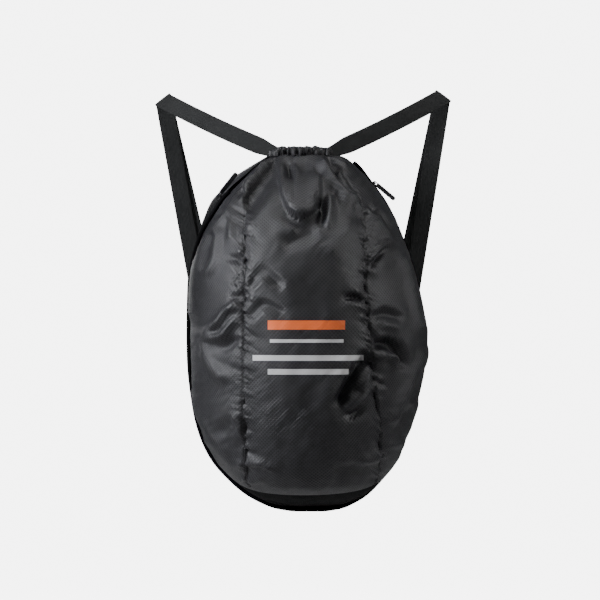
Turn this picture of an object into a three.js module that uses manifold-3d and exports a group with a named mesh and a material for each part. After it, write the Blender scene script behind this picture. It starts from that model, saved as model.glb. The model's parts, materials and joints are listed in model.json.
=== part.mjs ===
// A soft motorcycle helmet bag that is worn on the back. A pouch of thin cloth panels hangs from a
// gathered drawstring neck. Its edge is sewn to a back panel with a two-slider zip all round, and
// two pairs of flat webbing straps run from the neck over the shoulders to the lower back corners.
// Millimetres. +X is to the right seen from the front, +Y is towards the wearer and +Z is up.
// The origin is midway between the two folds where the straps hang.
import * as THREE from "three";
import { mergeVertices } from "three/addons/utils/BufferGeometryUtils.js";
import Module from "manifold-3d";

// Pouch
const BODY_HEIGHT = 507;
const BODY_WIDTH = 354;
const BODY_DEPTH = 235;
const CLOTH = 1.4;
const BACK_THICKNESS = 2.6;
const SEAM_GAP = 0.4;
const RIM_INSET = 1.2;
const SQUARENESS = 2.3;

// Gathered neck
const NECK_WIDTH = 90;
const NECK_DEPTH = 31;
const NECK_SETBACK = 54;
const NECK_CROWN = 9;
const CASING_HEIGHT = 16.5;
const CASING_WALL = 4.2;
const CASING_GAP = 0.35;
const PLEATS = 30;
const PLEAT_DEPTH = 2.2;

// Webbing straps
const STRAP_WIDTH = 24.6;
const STRAP_THICKNESS = 1.5;
const STRAP_PITCH = 2;
const HANG_SPAN = 404;
const STRAP_RISE = 82.5;
const STRAP_CLEARANCE = 11.5;
const TAB_THICKNESS = 1.2;
const TAB_MARGIN = 5;
const TAB_HEIGHT = 46;
const TAB_RISE = 6;

// Zip and piping round the edge. The zip faces away from the middle of the bag.
const BAND_WIDTH = 10;
const TAPE_THICKNESS = 1.3;
const TAPE_GAP = 0.7;
const COIL_WIDTH = 5.4;
const COIL_HEIGHT = 1.9;
const PIPING = 5.2;
const PIPING_GAP = 1.3;
const PIPING_LEAD = 2.2;
const SLIDER_LENGTH = 11;
const SLIDER_WIDTH = 7;
const SLIDER_HEIGHT = 3.2;
const EAR_SPAN = 4.4;
const EAR_WIDTH = 3.4;
const EAR_THICKNESS = 1.1;
const HINGE_RISE = 3.5;
const HINGE_BAR = 1.4;
const PULL_EYE = 5.2;
const PULL_EYE_LENGTH = 8.5;
const PULL_EYE_WALL = 1.3;
const PULL_EYE_THICKNESS = 1.6;
const PULL_LENGTH = 36;
const PULL_WIDTH = 6.2;
const PULL_THICKNESS = 3.2;
const PULL_RIBS = 7;
const RIGHT_PULL_LIFT = 12;

// The right side's cloth is drawn in towards the zip. The fades are shares of the height.
const TUCK = 7;
const TUCK_DEPTH = 45;
const TUCK_FOOT = 0.1;
const TUCK_NECK = 0.083;

const BACK_Y = -(STRAP_CLEARANCE + BACK_THICKNESS);
const NECK_Z = -STRAP_RISE;
const HALF_WIDTH = BODY_WIDTH / 2;

// The pouch's level sections from foot to neck. v is the share of the height. left and right are
// shares of half the width, front and back are shares of the depth, forward of the back plane.
const SECTIONS = [
  { v: 0, left: 0.08, right: 0.18, front: 0.008, back: 0 },
  { v: 0.009, left: 0.23, right: 0.33, front: 0.14, back: 0 },
  { v: 0.02, left: 0.31, right: 0.41, front: 0.3, back: 0 },
  { v: 0.043, left: 0.435, right: 0.533, front: 0.56, back: 0 },
  { v: 0.077, left: 0.557, right: 0.639, front: 0.76, back: 0 },
  { v: 0.146, left: 0.73, right: 0.787, front: 0.89, back: 0 },
  { v: 0.214, left: 0.82, right: 0.861, front: 0.945, back: 0 },
  { v: 0.283, left: 0.869, right: 0.926, front: 0.975, back: 0 },
  { v: 0.42, left: 0.914, right: 1.008, front: 1, back: 0 },
  { v: 0.489, left: 0.918, right: 1.016, front: 1, back: 0 },
  { v: 0.626, left: 0.91, right: 0.955, front: 0.975, back: 0 },
  { v: 0.763, left: 0.844, right: 0.828, front: 0.895, back: 0 },
  { v: 0.831, left: 0.779, right: 0.745, front: 0.8, back: 0.002 },
  { v: 0.866, left: 0.735, right: 0.69, front: 0.73, back: 0.012 },
  { v: 0.9, left: 0.65, right: 0.62, front: 0.645, back: 0.04 },
  { v: 0.934, left: 0.56, right: 0.54, front: 0.55, back: 0.085 },
  { v: 0.969, left: 0.41, right: 0.435, front: 0.45, back: 0.155 },
  {
    v: 1,
    left: NECK_WIDTH / BODY_WIDTH,
    right: NECK_WIDTH / BODY_WIDTH,
    front: (NECK_SETBACK + NECK_DEPTH) / BODY_DEPTH,
    back: NECK_SETBACK / BODY_DEPTH,
  },
];

// Where the two gathered seams and the left side's zip run. left and right are the seams' distances
// from the middle as shares of half the width, and zip is how far the zip stands forward of the left
// back corner, in turns.
const SEAM_LINES = [
  { v: 0, left: 0.05, right: 0.1, zip: 0 },
  { v: 0.043, left: 0.37, right: 0.46, zip: 0 },
  { v: 0.1, left: 0.45, right: 0.61, zip: 0 },
  { v: 0.23, left: 0.47, right: 0.62, zip: 0 },
  { v: 0.36, left: 0.475, right: 0.56, zip: 0 },
  { v: 0.5, left: 0.475, right: 0.53, zip: 0 },
  { v: 0.65, left: 0.475, right: 0.495, zip: 0.025 },
  { v: 0.76, left: 0.475, right: 0.49, zip: 0.115 },
  { v: 0.86, left: 0.46, right: 0.48, zip: 0.205 },
  { v: 0.92, left: 0.36, right: 0.38, zip: 0.215 },
  { v: 1, left: 0.19, right: 0.17, zip: 0.11 },
];
const ZIP_TOP_LEFT = 0.885;
const ZIP_TOP_RIGHT = 0.925;
const PIPING_TOP_LEFT = 0.89;
const PIPING_TOP_RIGHT = 0.975;
const BAND_CLOSING = 18;
const BACK_LEAN_FROM = 0.85;

// The foot seam of the pouch, where the darker base panel starts, as shares of the height.
const FOOT_MIDDLE = 0.05;
const FOOT_CORNER = 0.135;
const BASE_START = 0.002;

// The main folds and dents. path is [across, up] in shares of half the width and of the height,
// rise is a share of the depth, and near and far are the widths left and right of the path going
// along it, in shares of half the width.
const FOLDS = [
  {
    name: "left pleat",
    path: [[-0.2, 0.995], [-0.39, 0.92], [-0.5, 0.86]],
    rise: 0.045,
    near: 0.13,
    far: 0.045,
  },
  {
    name: "left crease",
    path: [[-0.11, 0.99], [-0.15, 0.955], [-0.13, 0.89], [-0.06, 0.85]],
    rise: -0.04,
    near: 0.05,
    far: 0.05,
  },
  {
    name: "tongue",
    path: [[-0.02, 0.975], [0, 0.92], [0, 0.865]],
    rise: 0.055,
    near: 0.13,
    far: 0.12,
  },
  {
    name: "under the tongue",
    path: [[-0.13, 0.745], [0.02, 0.79], [0.13, 0.82]],
    rise: -0.045,
    near: 0.06,
    far: 0.09,
  },
  {
    name: "right crease",
    path: [[0.14, 0.91], [0.17, 0.86], [0.185, 0.8]],
    rise: -0.05,
    near: 0.05,
    far: 0.05,
  },
  {
    name: "right pleat",
    path: [[0.1, 0.99], [0.2, 0.935], [0.31, 0.89], [0.4, 0.88]],
    rise: 0.05,
    near: 0.05,
    far: 0.13,
  },
  {
    name: "right hollow",
    path: [[0.13, 0.985], [0.25, 0.94], [0.34, 0.9]],
    rise: -0.05,
    near: 0.05,
    far: 0.035,
  },
  {
    name: "right shoulder",
    path: [[0.24, 0.985], [0.34, 0.965], [0.4, 0.93]],
    rise: 0.03,
    near: 0.06,
    far: 0.06,
  },
  {
    name: "right flank",
    path: [[0.44, 0.89], [0.62, 0.8], [0.72, 0.72]],
    rise: 0.022,
    near: 0.09,
    far: 0.09,
  },
  {
    name: "left flank",
    path: [[-0.6, 0.85], [-0.62, 0.74], [-0.74, 0.64]],
    rise: 0.028,
    near: 0.09,
    far: 0.05,
  },
  {
    name: "left star",
    path: [[-0.77, 0.47], [-0.6, 0.5], [-0.47, 0.54]],
    rise: 0.022,
    near: 0.06,
    far: 0.1,
  },
  {
    name: "left sweep",
    path: [[-0.78, 0.46], [-0.66, 0.41], [-0.52, 0.36]],
    rise: -0.022,
    near: 0.06,
    far: 0.06,
  },
  {
    name: "waist",
    path: [[-0.44, 0.63], [-0.2, 0.655], [0.08, 0.6]],
    rise: -0.018,
    near: 0.08,
    far: 0.06,
  },
  {
    name: "vent arch",
    path: [[0.48, 0.37], [0.62, 0.47], [0.74, 0.47], [0.82, 0.4]],
    rise: -0.04,
    near: 0.05,
    far: 0.04,
  },
  {
    name: "vent finger",
    path: [[0.33, 0.28], [0.47, 0.35], [0.55, 0.4]],
    rise: 0.035,
    near: 0.07,
    far: 0.08,
  },
  {
    name: "vent shadow",
    path: [[0.26, 0.3], [0.38, 0.37], [0.48, 0.43]],
    rise: -0.035,
    near: 0.06,
    far: 0.05,
  },
];
const SEAM_DIP = 4;
const SEAM_REACH = 9;

// Over what part of a turn, or of the height, the folds rise from nothing beside the panels' edges.
const FOLD_EDGE = 0.11;
const FOLD_NECK = 0.017;
const FOLD_FOOT = 0.05;

// How the straps hang. side is -1 on the left, lift is the fold's height over the origin, foot is
// where the pair is sewn, in shares of half the width and of the height, and spread is how far
// apart the two webbings lie there, in webbing widths.
const STRAPS = [
  { name: "left", side: -1, lift: -1, footAcross: 0.63, footUp: 0.19, spread: 1.02 },
  { name: "right", side: 1, lift: 4, footAcross: 0.69, footUp: 0.19, spread: 1.02 },
];

// Grid sizes
const PANEL_ROWS = 25;
const FRONT_COLUMNS = 16;
const GUSSET_COLUMNS = 9;
const BACK_COLUMNS = 18;
const BACK_ROWS = 20;
const BASE_ROWS = 4;
const BASE_COLUMNS = 28;
const EDGE_STEPS = 26;
const ROUND_SIDES = 6;
const EDGE_PROBE = 0.02;
const WRAP_STEPS = 6;
const WRAP_COLUMNS = 5;

const clamp = THREE.MathUtils.clamp;
const mix = THREE.MathUtils.lerp;
const ease = (x) => THREE.MathUtils.smoothstep(x, 0, 1);

// A table's column at v, on a curve through its rows that never overshoots them.
function columnAt(rows, key, v) {
  let k = 0;
  while (k < rows.length - 2 && rows[k + 1].v < v) k++;
  const slope = (i) => (rows[i + 1][key] - rows[i][key]) / (rows[i + 1].v - rows[i].v);
  const tangent = (i) => {
    if (i === 0) return slope(0);
    if (i === rows.length - 1) return slope(i - 1);
    const [before, after] = [slope(i - 1), slope(i)];
    return before * after <= 0 ? 0 : (2 * before * after) / (before + after);
  };
  const step = rows[k + 1].v - rows[k].v;
  const t = clamp((v - rows[k].v) / step, 0, 1);
  const [t2, t3] = [t * t, t * t * t];
  return (
    (2 * t3 - 3 * t2 + 1) * rows[k][key] +
    (t3 - 2 * t2 + t) * step * tangent(k) +
    (3 * t2 - 2 * t3) * rows[k + 1][key] +
    (t3 - t2) * step * tangent(k + 1)
  );
}

const heightAt = (v) => NECK_Z - (1 - v) * BODY_HEIGHT;

// How far the pouch's edge stands forward of the back panel to make room for the zip, closing to a
// seam above the zip's top end.
const closingBand = (v, top) => mix(BAND_WIDTH, SEAM_GAP, ease((v - top - 0.01) * BAND_CLOSING));
const bandAt = (v) => closingBand(v, ZIP_TOP_RIGHT);

function sectionAt(v) {
  const front = BACK_Y - columnAt(SECTIONS, "front", v) * BODY_DEPTH;
  const back = BACK_Y - columnAt(SECTIONS, "back", v) * BODY_DEPTH;
  const edge = back - bandAt(v);
  return {
    left: columnAt(SECTIONS, "left", v) * HALF_WIDTH,
    right: columnAt(SECTIONS, "right", v) * HALF_WIDTH,
    back,
    edge,
    depth: Math.max(edge - front, 2),
  };
}

// The pouch's smooth skin. turn goes from 0 at the left back corner round the front to 1 at the
// right back corner.
function skin(turn, v) {
  const s = sectionAt(v);
  const angle = turn * Math.PI;
  const [c, q] = [Math.cos(angle), Math.sin(angle)];
  const reach = turn < 0.5 ? s.left : s.right;
  const across = Math.pow(Math.abs(c) / reach, SQUARENESS);
  const along = Math.pow(Math.max(q, 0) / s.depth, SQUARENESS);
  const r = Math.pow(across + along, -1 / SQUARENESS);
  const drawn = ease(0.3 + v / TUCK_FOOT) * ease((1 - v) / TUCK_NECK) * ease(s.depth / TUCK_DEPTH);
  const tuck = turn < 0.5 ? 0 : TUCK * drawn;
  const x = -r * c - tuck * Math.pow(clamp(1 - (r * q) / TUCK_DEPTH, 0, 1), 2);
  return new THREE.Vector3(x, s.edge - r * q, heightAt(v));
}

// The turn at which the skin is a given share of the half width from the middle.
function turnAcross(share, v) {
  const s = sectionAt(v);
  const x = share * HALF_WIDTH;
  const reach = x < 0 ? s.left : s.right;
  const part = Math.min(Math.abs(x) / reach, 0.97);
  const y = s.depth * Math.pow(1 - Math.pow(part, SQUARENESS), 1 / SQUARENESS);
  return Math.atan2(y, -Math.sign(x) * part * reach) / Math.PI;
}

const seamLeft = (v) => turnAcross(-columnAt(SEAM_LINES, "left", v), v);
const seamRight = (v) => turnAcross(columnAt(SEAM_LINES, "right", v), v);
const zipLeft = (v) => columnAt(SEAM_LINES, "zip", v);

// How far the back panel has come into its leaning top, from 0 to 1.
const leanAt = (v) => ease((v - BACK_LEAN_FROM) / (1 - BACK_LEAN_FROM));

// The foot seam's share of the height at a turn: low in the middle, higher at the corners.
const footAt = (turn) => mix(FOOT_MIDDLE, FOOT_CORNER, Math.pow(Math.abs(2 * turn - 1), 2.2));

// How far a fold lifts the skin at a point of the front view.
function foldLift(fold, x, z) {
  let best = { off: Infinity };
  const points = fold.path.map(([a, u]) => [a * HALF_WIDTH, heightAt(u)]);
  for (let i = 0; i < points.length - 1; i++) {
    const [ax, az] = points[i];
    const [dx, dz] = [points[i + 1][0] - ax, points[i + 1][1] - az];
    const length = Math.hypot(dx, dz);
    const t = clamp(((x - ax) * dx + (z - az) * dz) / (length * length), 0, 1);
    const [ox, oz] = [x - ax - t * dx, z - az - t * dz];
    const off = Math.hypot(ox, oz);
    if (off < best.off) {
      const along = (i + t) / (points.length - 1);
      best = { off, along, side: Math.sign(dx * oz - dz * ox) };
    }
  }
  const width = (best.side > 0 ? fold.near : fold.far) * HALF_WIDTH;
  const taper = ease(Math.min(best.along, 1 - best.along) * 4 + 0.25);
  return fold.rise * BODY_DEPTH * taper * Math.exp(-Math.pow(best.off / width, 2));
}

// The folds and the dips along the two gathered seams. They fade out at the zip and at the neck.
function foldsAt(turn, v) {
  const p = skin(turn, v);
  let lift = 0;
  for (const fold of FOLDS) lift += foldLift(fold, p.x, p.z);
  for (const seam of [seamLeft(v), seamRight(v)]) {
    const off = p.distanceTo(skin(seam, v));
    lift -= SEAM_DIP * Math.exp(-Math.pow(off / SEAM_REACH, 2));
  }
  const edge = ease(Math.min(turn - zipLeft(v), 1 - turn) / FOLD_EDGE);
  return lift * edge * ease((1 - v) / FOLD_NECK) * ease((v - footAt(turn)) / FOLD_FOOT);
}

// The finished skin's point and outward normal.
function draped(turn, v, folded = true) {
  const d = 1e-3;
  const [low, high] = [Math.max(v - d, 0), Math.min(v + d, 1)];
  const smooth = (a, b) => {
    const p = skin(a, b);
    const around = skin(a + d, b).sub(skin(a - d, b));
    const up = skin(a, Math.min(b + d, 1)).sub(skin(a, Math.max(b - d, 0)));
    return { p, n: around.cross(up).normalize() };
  };
  const at = (a, b) => {
    const { p, n } = smooth(a, b);
    return folded ? p.addScaledVector(n, foldsAt(a, b)) : p;
  };
  const n = at(turn + d, v).sub(at(turn - d, v)).cross(at(turn, high).sub(at(turn, low)));
  return { p: at(turn, v), n: n.normalize() };
}

// A closed wall between two grids of points with the same rows and columns.
function wallGeometry(outer, inner) {
  const rows = outer.length;
  const columns = outer[0].length;
  const positions = [...outer.flat(), ...inner.flat()].flatMap((p) => [p.x, p.y, p.z]);
  const at = (j, i, side) => side * rows * columns + j * columns + i;
  const index = [];
  const quad = (a, b, c, d) => index.push(a, b, c, a, c, d);
  for (let j = 0; j < rows - 1; j++)
    for (let i = 0; i < columns - 1; i++) {
      quad(at(j, i, 0), at(j, i + 1, 0), at(j + 1, i + 1, 0), at(j + 1, i, 0));
      quad(at(j, i, 1), at(j + 1, i, 1), at(j + 1, i + 1, 1), at(j, i + 1, 1));
    }
  for (let i = 0; i < columns - 1; i++) {
    quad(at(0, i, 1), at(0, i + 1, 1), at(0, i + 1, 0), at(0, i, 0));
    quad(at(rows - 1, i, 0), at(rows - 1, i + 1, 0), at(rows - 1, i + 1, 1), at(rows - 1, i, 1));
  }
  for (let j = 0; j < rows - 1; j++) {
    quad(at(j, 0, 0), at(j + 1, 0, 0), at(j + 1, 0, 1), at(j, 0, 1));
    quad(at(j, columns - 1, 1), at(j + 1, columns - 1, 1), at(j + 1, columns - 1, 0), at(j, columns - 1, 0));
  }
  return meshGeometry(positions, index);
}

function meshGeometry(positions, index) {
  const geometry = new THREE.BufferGeometry();
  geometry.setAttribute("position", new THREE.Float32BufferAttribute(positions, 3));
  geometry.setIndex(index);
  geometry.computeVertexNormals();
  return geometry;
}

// A tube through rings of points. Rings of an open tube are closed off at its ends.
function loftGeometry(rings, closed = false) {
  const sides = rings[0].length;
  const positions = rings.flat().flatMap((p) => [p.x, p.y, p.z]);
  const index = [];
  const last = closed ? rings.length : rings.length - 1;
  for (let j = 0; j < last; j++)
    for (let i = 0; i < sides; i++) {
      const [a, b] = [j * sides, ((j + 1) % rings.length) * sides];
      const k = (i + 1) % sides;
      index.push(a + i, a + k, b + k, a + i, b + k, b + i);
    }
  if (!closed)
    for (let i = 1; i < sides - 1; i++) {
      const end = (rings.length - 1) * sides;
      index.push(0, i + 1, i, end, end + i, end + i + 1);
    }
  return meshGeometry(positions, index);
}

const cloth = (color, roughness) => new THREE.MeshStandardMaterial({ color, roughness, metalness: 0 });
const RIPSTOP = cloth(0x232326, 0.55);
const PLAIN_CLOTH = cloth(0x0c0c0e, 0.6);
const WEBBING = cloth(0x2a2c2c, 0.85);
const ZIP_CLOTH = cloth(0x08080a, 0.8);
const ZIP_PLASTIC = cloth(0x101012, 0.45);
const SLIDER_METAL = new THREE.MeshStandardMaterial({ color: 0x3a3a3c, roughness: 0.35, metalness: 0.8 });
const PULL_RUBBER = cloth(0x2a2a2c, 0.7);

const helmetBag = new THREE.Group();

function addPiece(name, geometry, material, matrix) {
  const mesh = new THREE.Mesh(geometry, material);
  mesh.name = name;
  if (matrix) mesh.applyMatrix4(matrix);
  helmetBag.add(mesh);
}

// Cloth panels

// Half a seam's gap at a height, in turns.
const seamInset = (v) => SEAM_GAP / 2 / skin(0, v).distanceTo(skin(0.5, v));

// A panel of the pouch between two edges given as turns at a height. Rows crowd towards the neck.
function pouchPanel(leftEdge, rightEdge, columns) {
  const [outer, inner] = [[], []];
  for (let j = 0; j <= PANEL_ROWS; j++) {
    const up = 1 - Math.pow(1 - j / PANEL_ROWS, 1.4);
    const rowOut = [];
    const rowIn = [];
    for (let i = 0; i <= columns; i++) {
      const turnAt = (v) => mix(leftEdge(v) + seamInset(v), rightEdge(v) - seamInset(v), i / columns);
      let foot = FOOT_MIDDLE;
      for (let pass = 0; pass < 8; pass++) foot = footAt(turnAt(foot));
      const v = mix(foot + SEAM_GAP / BODY_HEIGHT, 1, up);
      const turn = turnAt(v);
      const { p, n } = draped(turn, v);
      rowOut.push(p);
      rowIn.push(p.clone().addScaledVector(n, -CLOTH));
    }
    outer.push(rowOut);
    inner.push(rowIn);
  }
  return wallGeometry(outer, inner);
}

const leftRim = (v) => zipLeft(v) + seamInset(v);
const rightRim = (v) => 1 - seamInset(v);
addPiece("front_panel", pouchPanel(seamLeft, seamRight, FRONT_COLUMNS), RIPSTOP);
addPiece("side_panel_left", pouchPanel(leftRim, seamLeft, GUSSET_COLUMNS), RIPSTOP);
addPiece("side_panel_right", pouchPanel(seamRight, rightRim, GUSSET_COLUMNS), RIPSTOP);

// The turn at a share of the way round a level section, with even steps also where it is flat.
function turnAround(share, v) {
  const s = sectionAt(v);
  const angle = share * Math.PI;
  const reach = share < 0.5 ? s.left : s.right;
  return Math.atan2(s.depth * Math.sin(angle), reach * Math.cos(angle)) / Math.PI;
}

// The darker base under the pouch, from the foot seam back to the foot of the back panel.
function basePanel() {
  const [outer, inner] = [[], []];
  for (let j = 0; j <= BASE_ROWS; j++) {
    const rowOut = [];
    const rowIn = [];
    for (let i = 0; i <= BASE_COLUMNS; i++) {
      let v = 0;
      let turn = 0;
      for (let pass = 0; pass < 8; pass++) {
        turn = turnAround(mix(2 * seamInset(v), 1 - 2 * seamInset(v), i / BASE_COLUMNS), v);
        v = mix(BASE_START, footAt(turn), Math.pow(j / BASE_ROWS, 1.5));
      }
      const { p, n } = draped(turn, v, false);
      const inner = p.clone().addScaledVector(n, -CLOTH);
      inner.y = Math.min(inner.y, BACK_Y - BAND_WIDTH - SEAM_GAP);
      rowOut.push(p);
      rowIn.push(inner);
    }
    outer.push(rowOut);
    inner.push(rowIn);
  }
  return wallGeometry(outer, inner);
}
addPiece("base_panel", basePanel(), PLAIN_CLOTH);

// How much wider the zip's band is level than square to the zip, where the left zip runs aslant.
function slantAt(v) {
  const [low, high] = [v - 0.01, Math.min(v + 0.01, 1)];
  const step = skin(zipLeft(high), high).sub(skin(zipLeft(low), low));
  const round = skin(zipLeft(v) + EDGE_PROBE, v).sub(skin(zipLeft(v), v)).normalize();
  return 1 / Math.sqrt(1 - Math.pow(step.normalize().dot(round), 2));
}

// The back of the bag: flat against the wearer, leaning forward and rounding out towards the neck,
// and wrapping round the left corner up to the zip.
function backPoint(share, v) {
  const { back } = sectionAt(v);
  const start = zipLeft(v);
  const path = [];
  if (start > 0) for (let k = 0; k <= WRAP_STEPS; k++) path.push(skin(mix(start, 0, k / WRAP_STEPS), v));
  for (const turn of [0, 1]) path.push(skin(turn, v).setY(back));
  const lengths = path.slice(1).map((p, k) => p.distanceTo(path[k]));
  const skip = start > 0 ? closingBand(v, ZIP_TOP_LEFT) * slantAt(v) : 0;
  const whole = lengths.reduce((a, b) => a + b, 0);
  const corner = Math.max(whole - lengths[lengths.length - 1], skip + WRAP_COLUMNS * SEAM_GAP);
  const wrapShare = WRAP_COLUMNS / BACK_COLUMNS;
  let at = mix(skip, corner, share / wrapShare);
  if (share > wrapShare) at = mix(corner, whole, (share - wrapShare) / (1 - wrapShare));
  let k = 0;
  while (k < lengths.length - 1 && at > lengths[k]) at -= lengths[k++];
  const t = Math.min(at / lengths[k], 1);
  const p = path[k].clone().lerp(path[k + 1], t);
  if (k === lengths.length - 1) p.y += NECK_CROWN * leanAt(v) * 4 * t * (1 - t);
  return p;
}

function backPanel() {
  const [outer, inner] = [[], []];
  const d = 4e-3;
  for (let j = 0; j <= BACK_ROWS; j++) {
    const v = 0.002 + 0.998 * (1 - Math.pow(1 - j / BACK_ROWS, 1.25));
    const rowOut = [];
    const rowIn = [];
    for (let i = BACK_COLUMNS; i >= 0; i--) {
      const inset = RIM_INSET / skin(0, v).distanceTo(skin(1, v));
      const share = mix(inset, 1 - inset, i / BACK_COLUMNS);
      const p = backPoint(share, v);
      const across = backPoint(Math.min(share + d, 1), v).sub(backPoint(Math.max(share - d, 0), v));
      const up = backPoint(share, Math.min(v + d, 1)).sub(backPoint(share, Math.max(v - d, 0)));
      const n = up.cross(across).normalize();
      n.z *= 1 - leanAt(v);
      rowIn.push(p);
      rowOut.push(p.clone().addScaledVector(n.normalize(), BACK_THICKNESS));
    }
    outer.push(rowOut);
    inner.push(rowIn);
  }
  return wallGeometry(outer, inner);
}
addPiece("back_panel", backPanel(), PLAIN_CLOTH);

// Gathered neck casing

// The rim of the pouch as a closed loop of evenly spaced points, seen from above.
function neckLoop(count) {
  const dense = [];
  const steps = 200;
  for (let k = 0; k < steps; k++) dense.push(skin(k / steps, 1));
  for (let k = 0; k < steps; k++) dense.push(backPoint(1 - (k / steps) * 0.999, 1));
  const lengths = dense.map((p, k) => p.distanceTo(dense[(k + 1) % dense.length]));
  const whole = lengths.reduce((a, b) => a + b, 0);
  const loop = [];
  let [k, passed] = [0, 0];
  for (let i = 0; i < count; i++) {
    const wanted = (i / count) * whole;
    while (passed + lengths[k] < wanted) passed += lengths[k++];
    loop.push(dense[k].clone().lerp(dense[(k + 1) % dense.length], (wanted - passed) / lengths[k]));
  }
  for (let pass = 0; pass < 3; pass++)
    loop.forEach((p, i) => {
      const between = loop[(i + 1) % count].clone().lerp(loop[(i + count - 1) % count], 0.5);
      p.lerp(between, 0.5);
    });
  return loop;
}

function neckCasing() {
  const steps = PLEATS * 4;
  const loop = neckLoop(steps);
  const rings = loop.map((p, i) => {
    const along = loop[(i + 1) % steps].clone().sub(loop[(i + steps - 1) % steps]);
    const n = new THREE.Vector3(along.y, -along.x, 0).normalize();
    const pleat = Math.floor(i / 4);
    const crest = [0, 0.6, 1, 0.6][i % 4] * PLEAT_DEPTH * (0.8 + 0.2 * Math.sin(pleat * 2.4));
    const low = NECK_Z + CASING_GAP;
    const endDrop = 0.2 * Math.pow(Math.abs(p.x) / (NECK_WIDTH / 2), 4);
    const top = low + CASING_HEIGHT * (1 - endDrop) + crest * 0.3;
    const at = (out, z) => new THREE.Vector3(p.x, p.y, z).addScaledVector(n, out);
    return [
      at(0.6 + crest * 0.5, low),
      at(1.2 + crest, mix(low, top, 0.55)),
      at(0.2 + crest * 0.8, top),
      at(-CASING_WALL, top - 1.5),
      at(-CASING_WALL, low),
    ];
  });
  return loftGeometry(rings.reverse(), true);
}
addPiece("neck_casing", neckCasing(), RIPSTOP);

// Zip tape, coil and piping round the edge

// The edge line at stations: down the left, across the foot and up the right. Each has the point,
// the direction away from the pouch and the direction towards the wearer.
function edgeFrames(topLeft, topRight) {
  const stations = [];
  const share = (k) => (1 - Math.cos((k / EDGE_STEPS) * Math.PI)) / 2;
  for (let k = EDGE_STEPS; k >= 0; k--) stations.push([0, topLeft * share(k)]);
  for (let k = 0; k <= EDGE_STEPS; k++) stations.push([1, topRight * share(k)]);
  const points = stations.map(([side, v]) => skin(side ? 1 : zipLeft(v), v));
  const forward = stations.map(([side, v], k) =>
    side || zipLeft(v) === 0
      ? new THREE.Vector3(0, -1, 0)
      : skin(zipLeft(v) + EDGE_PROBE, v).sub(points[k]),
  );
  return points.map((p, k) => {
    const before = points[Math.max(k - 1, 0)];
    const after = points[Math.min(k + 1, points.length - 1)];
    const along = after.clone().sub(before).normalize();
    const out = along.clone().cross(forward[k]).normalize();
    return { p, out, back: along.clone().cross(out), along };
  });
}

const onFrame = (f, out, back) => f.p.clone().addScaledVector(f.out, out).addScaledVector(f.back, back);
const ring = (f, corners) => corners.map(([out, back]) => onFrame(f, out, back));
const box = (out0, out1, back0, back1) => [
  [out0, back0],
  [out1, back0],
  [out1, back1],
  [out0, back1],
];
const round = (out, back, radius) =>
  Array.from({ length: ROUND_SIDES }, (_, i) => {
    const a = (i / ROUND_SIDES) * 2 * Math.PI;
    return [out + radius * Math.cos(a), back + radius * Math.sin(a)];
  });

const zipFrames = edgeFrames(ZIP_TOP_LEFT, ZIP_TOP_RIGHT);
const tapeTop = TAPE_THICKNESS / 2;
const tapeSection = box(-tapeTop, tapeTop, TAPE_GAP, BAND_WIDTH - 2 * RIM_INSET);
addPiece("zip_tape", loftGeometry(zipFrames.map((f) => ring(f, tapeSection))), ZIP_CLOTH);

const coilBack = BAND_WIDTH / 2;
const coilFoot = tapeTop + SEAM_GAP;
const coilSection = [
  [coilFoot, coilBack - COIL_WIDTH / 2],
  [coilFoot + COIL_HEIGHT, coilBack - COIL_WIDTH / 4],
  [coilFoot + COIL_HEIGHT, coilBack + COIL_WIDTH / 4],
  [coilFoot, coilBack + COIL_WIDTH / 2],
];
const stationPast = (length) => zipFrames.findIndex((f) => f.p.distanceTo(zipFrames[0].p) > length);
const sliderStation = stationPast(SLIDER_LENGTH / 2);
const coilEnd = stationPast(SLIDER_LENGTH * 1.2);
addPiece(
  "zip_coil",
  loftGeometry(zipFrames.slice(coilEnd, zipFrames.length - coilEnd).map((f) => ring(f, coilSection))),
  ZIP_PLASTIC,
);

const pipingFrames = edgeFrames(PIPING_TOP_LEFT, PIPING_TOP_RIGHT);
addPiece(
  "edge_piping",
  loftGeometry(pipingFrames.map((f) => ring(f, round(PIPING_GAP + PIPING / 2, -PIPING_LEAD, PIPING / 2)))),
  ZIP_CLOTH,
);

// Zip sliders and pulls, each drawn with the zip along X, its face up and the hinge at the origin

const wasm = await Module();
wasm.setup();

function toSolid(geometry) {
  const bare = geometry.index ? geometry.toNonIndexed() : geometry.clone();
  bare.deleteAttribute("normal");
  bare.deleteAttribute("uv");
  const merged = mergeVertices(bare, 1e-4);
  return new wasm.Manifold(
    new wasm.Mesh({
      numProp: 3,
      vertProperties: merged.attributes.position.array,
      triVerts: new Uint32Array(merged.index.array),
    }),
  );
}

function toGeometry(solid) {
  const mesh = solid.getMesh();
  return meshGeometry(Array.from(mesh.vertProperties), Array.from(mesh.triVerts));
}

const joined = (geometries) => toGeometry(geometries.map(toSolid).reduce((a, b) => a.add(b)));
const block = (length, width, height, x, y, z) =>
  new THREE.BoxGeometry(length, width, height).translate(x, y, z);

const HINGE_HEIGHT = SLIDER_HEIGHT + HINGE_RISE;

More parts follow.
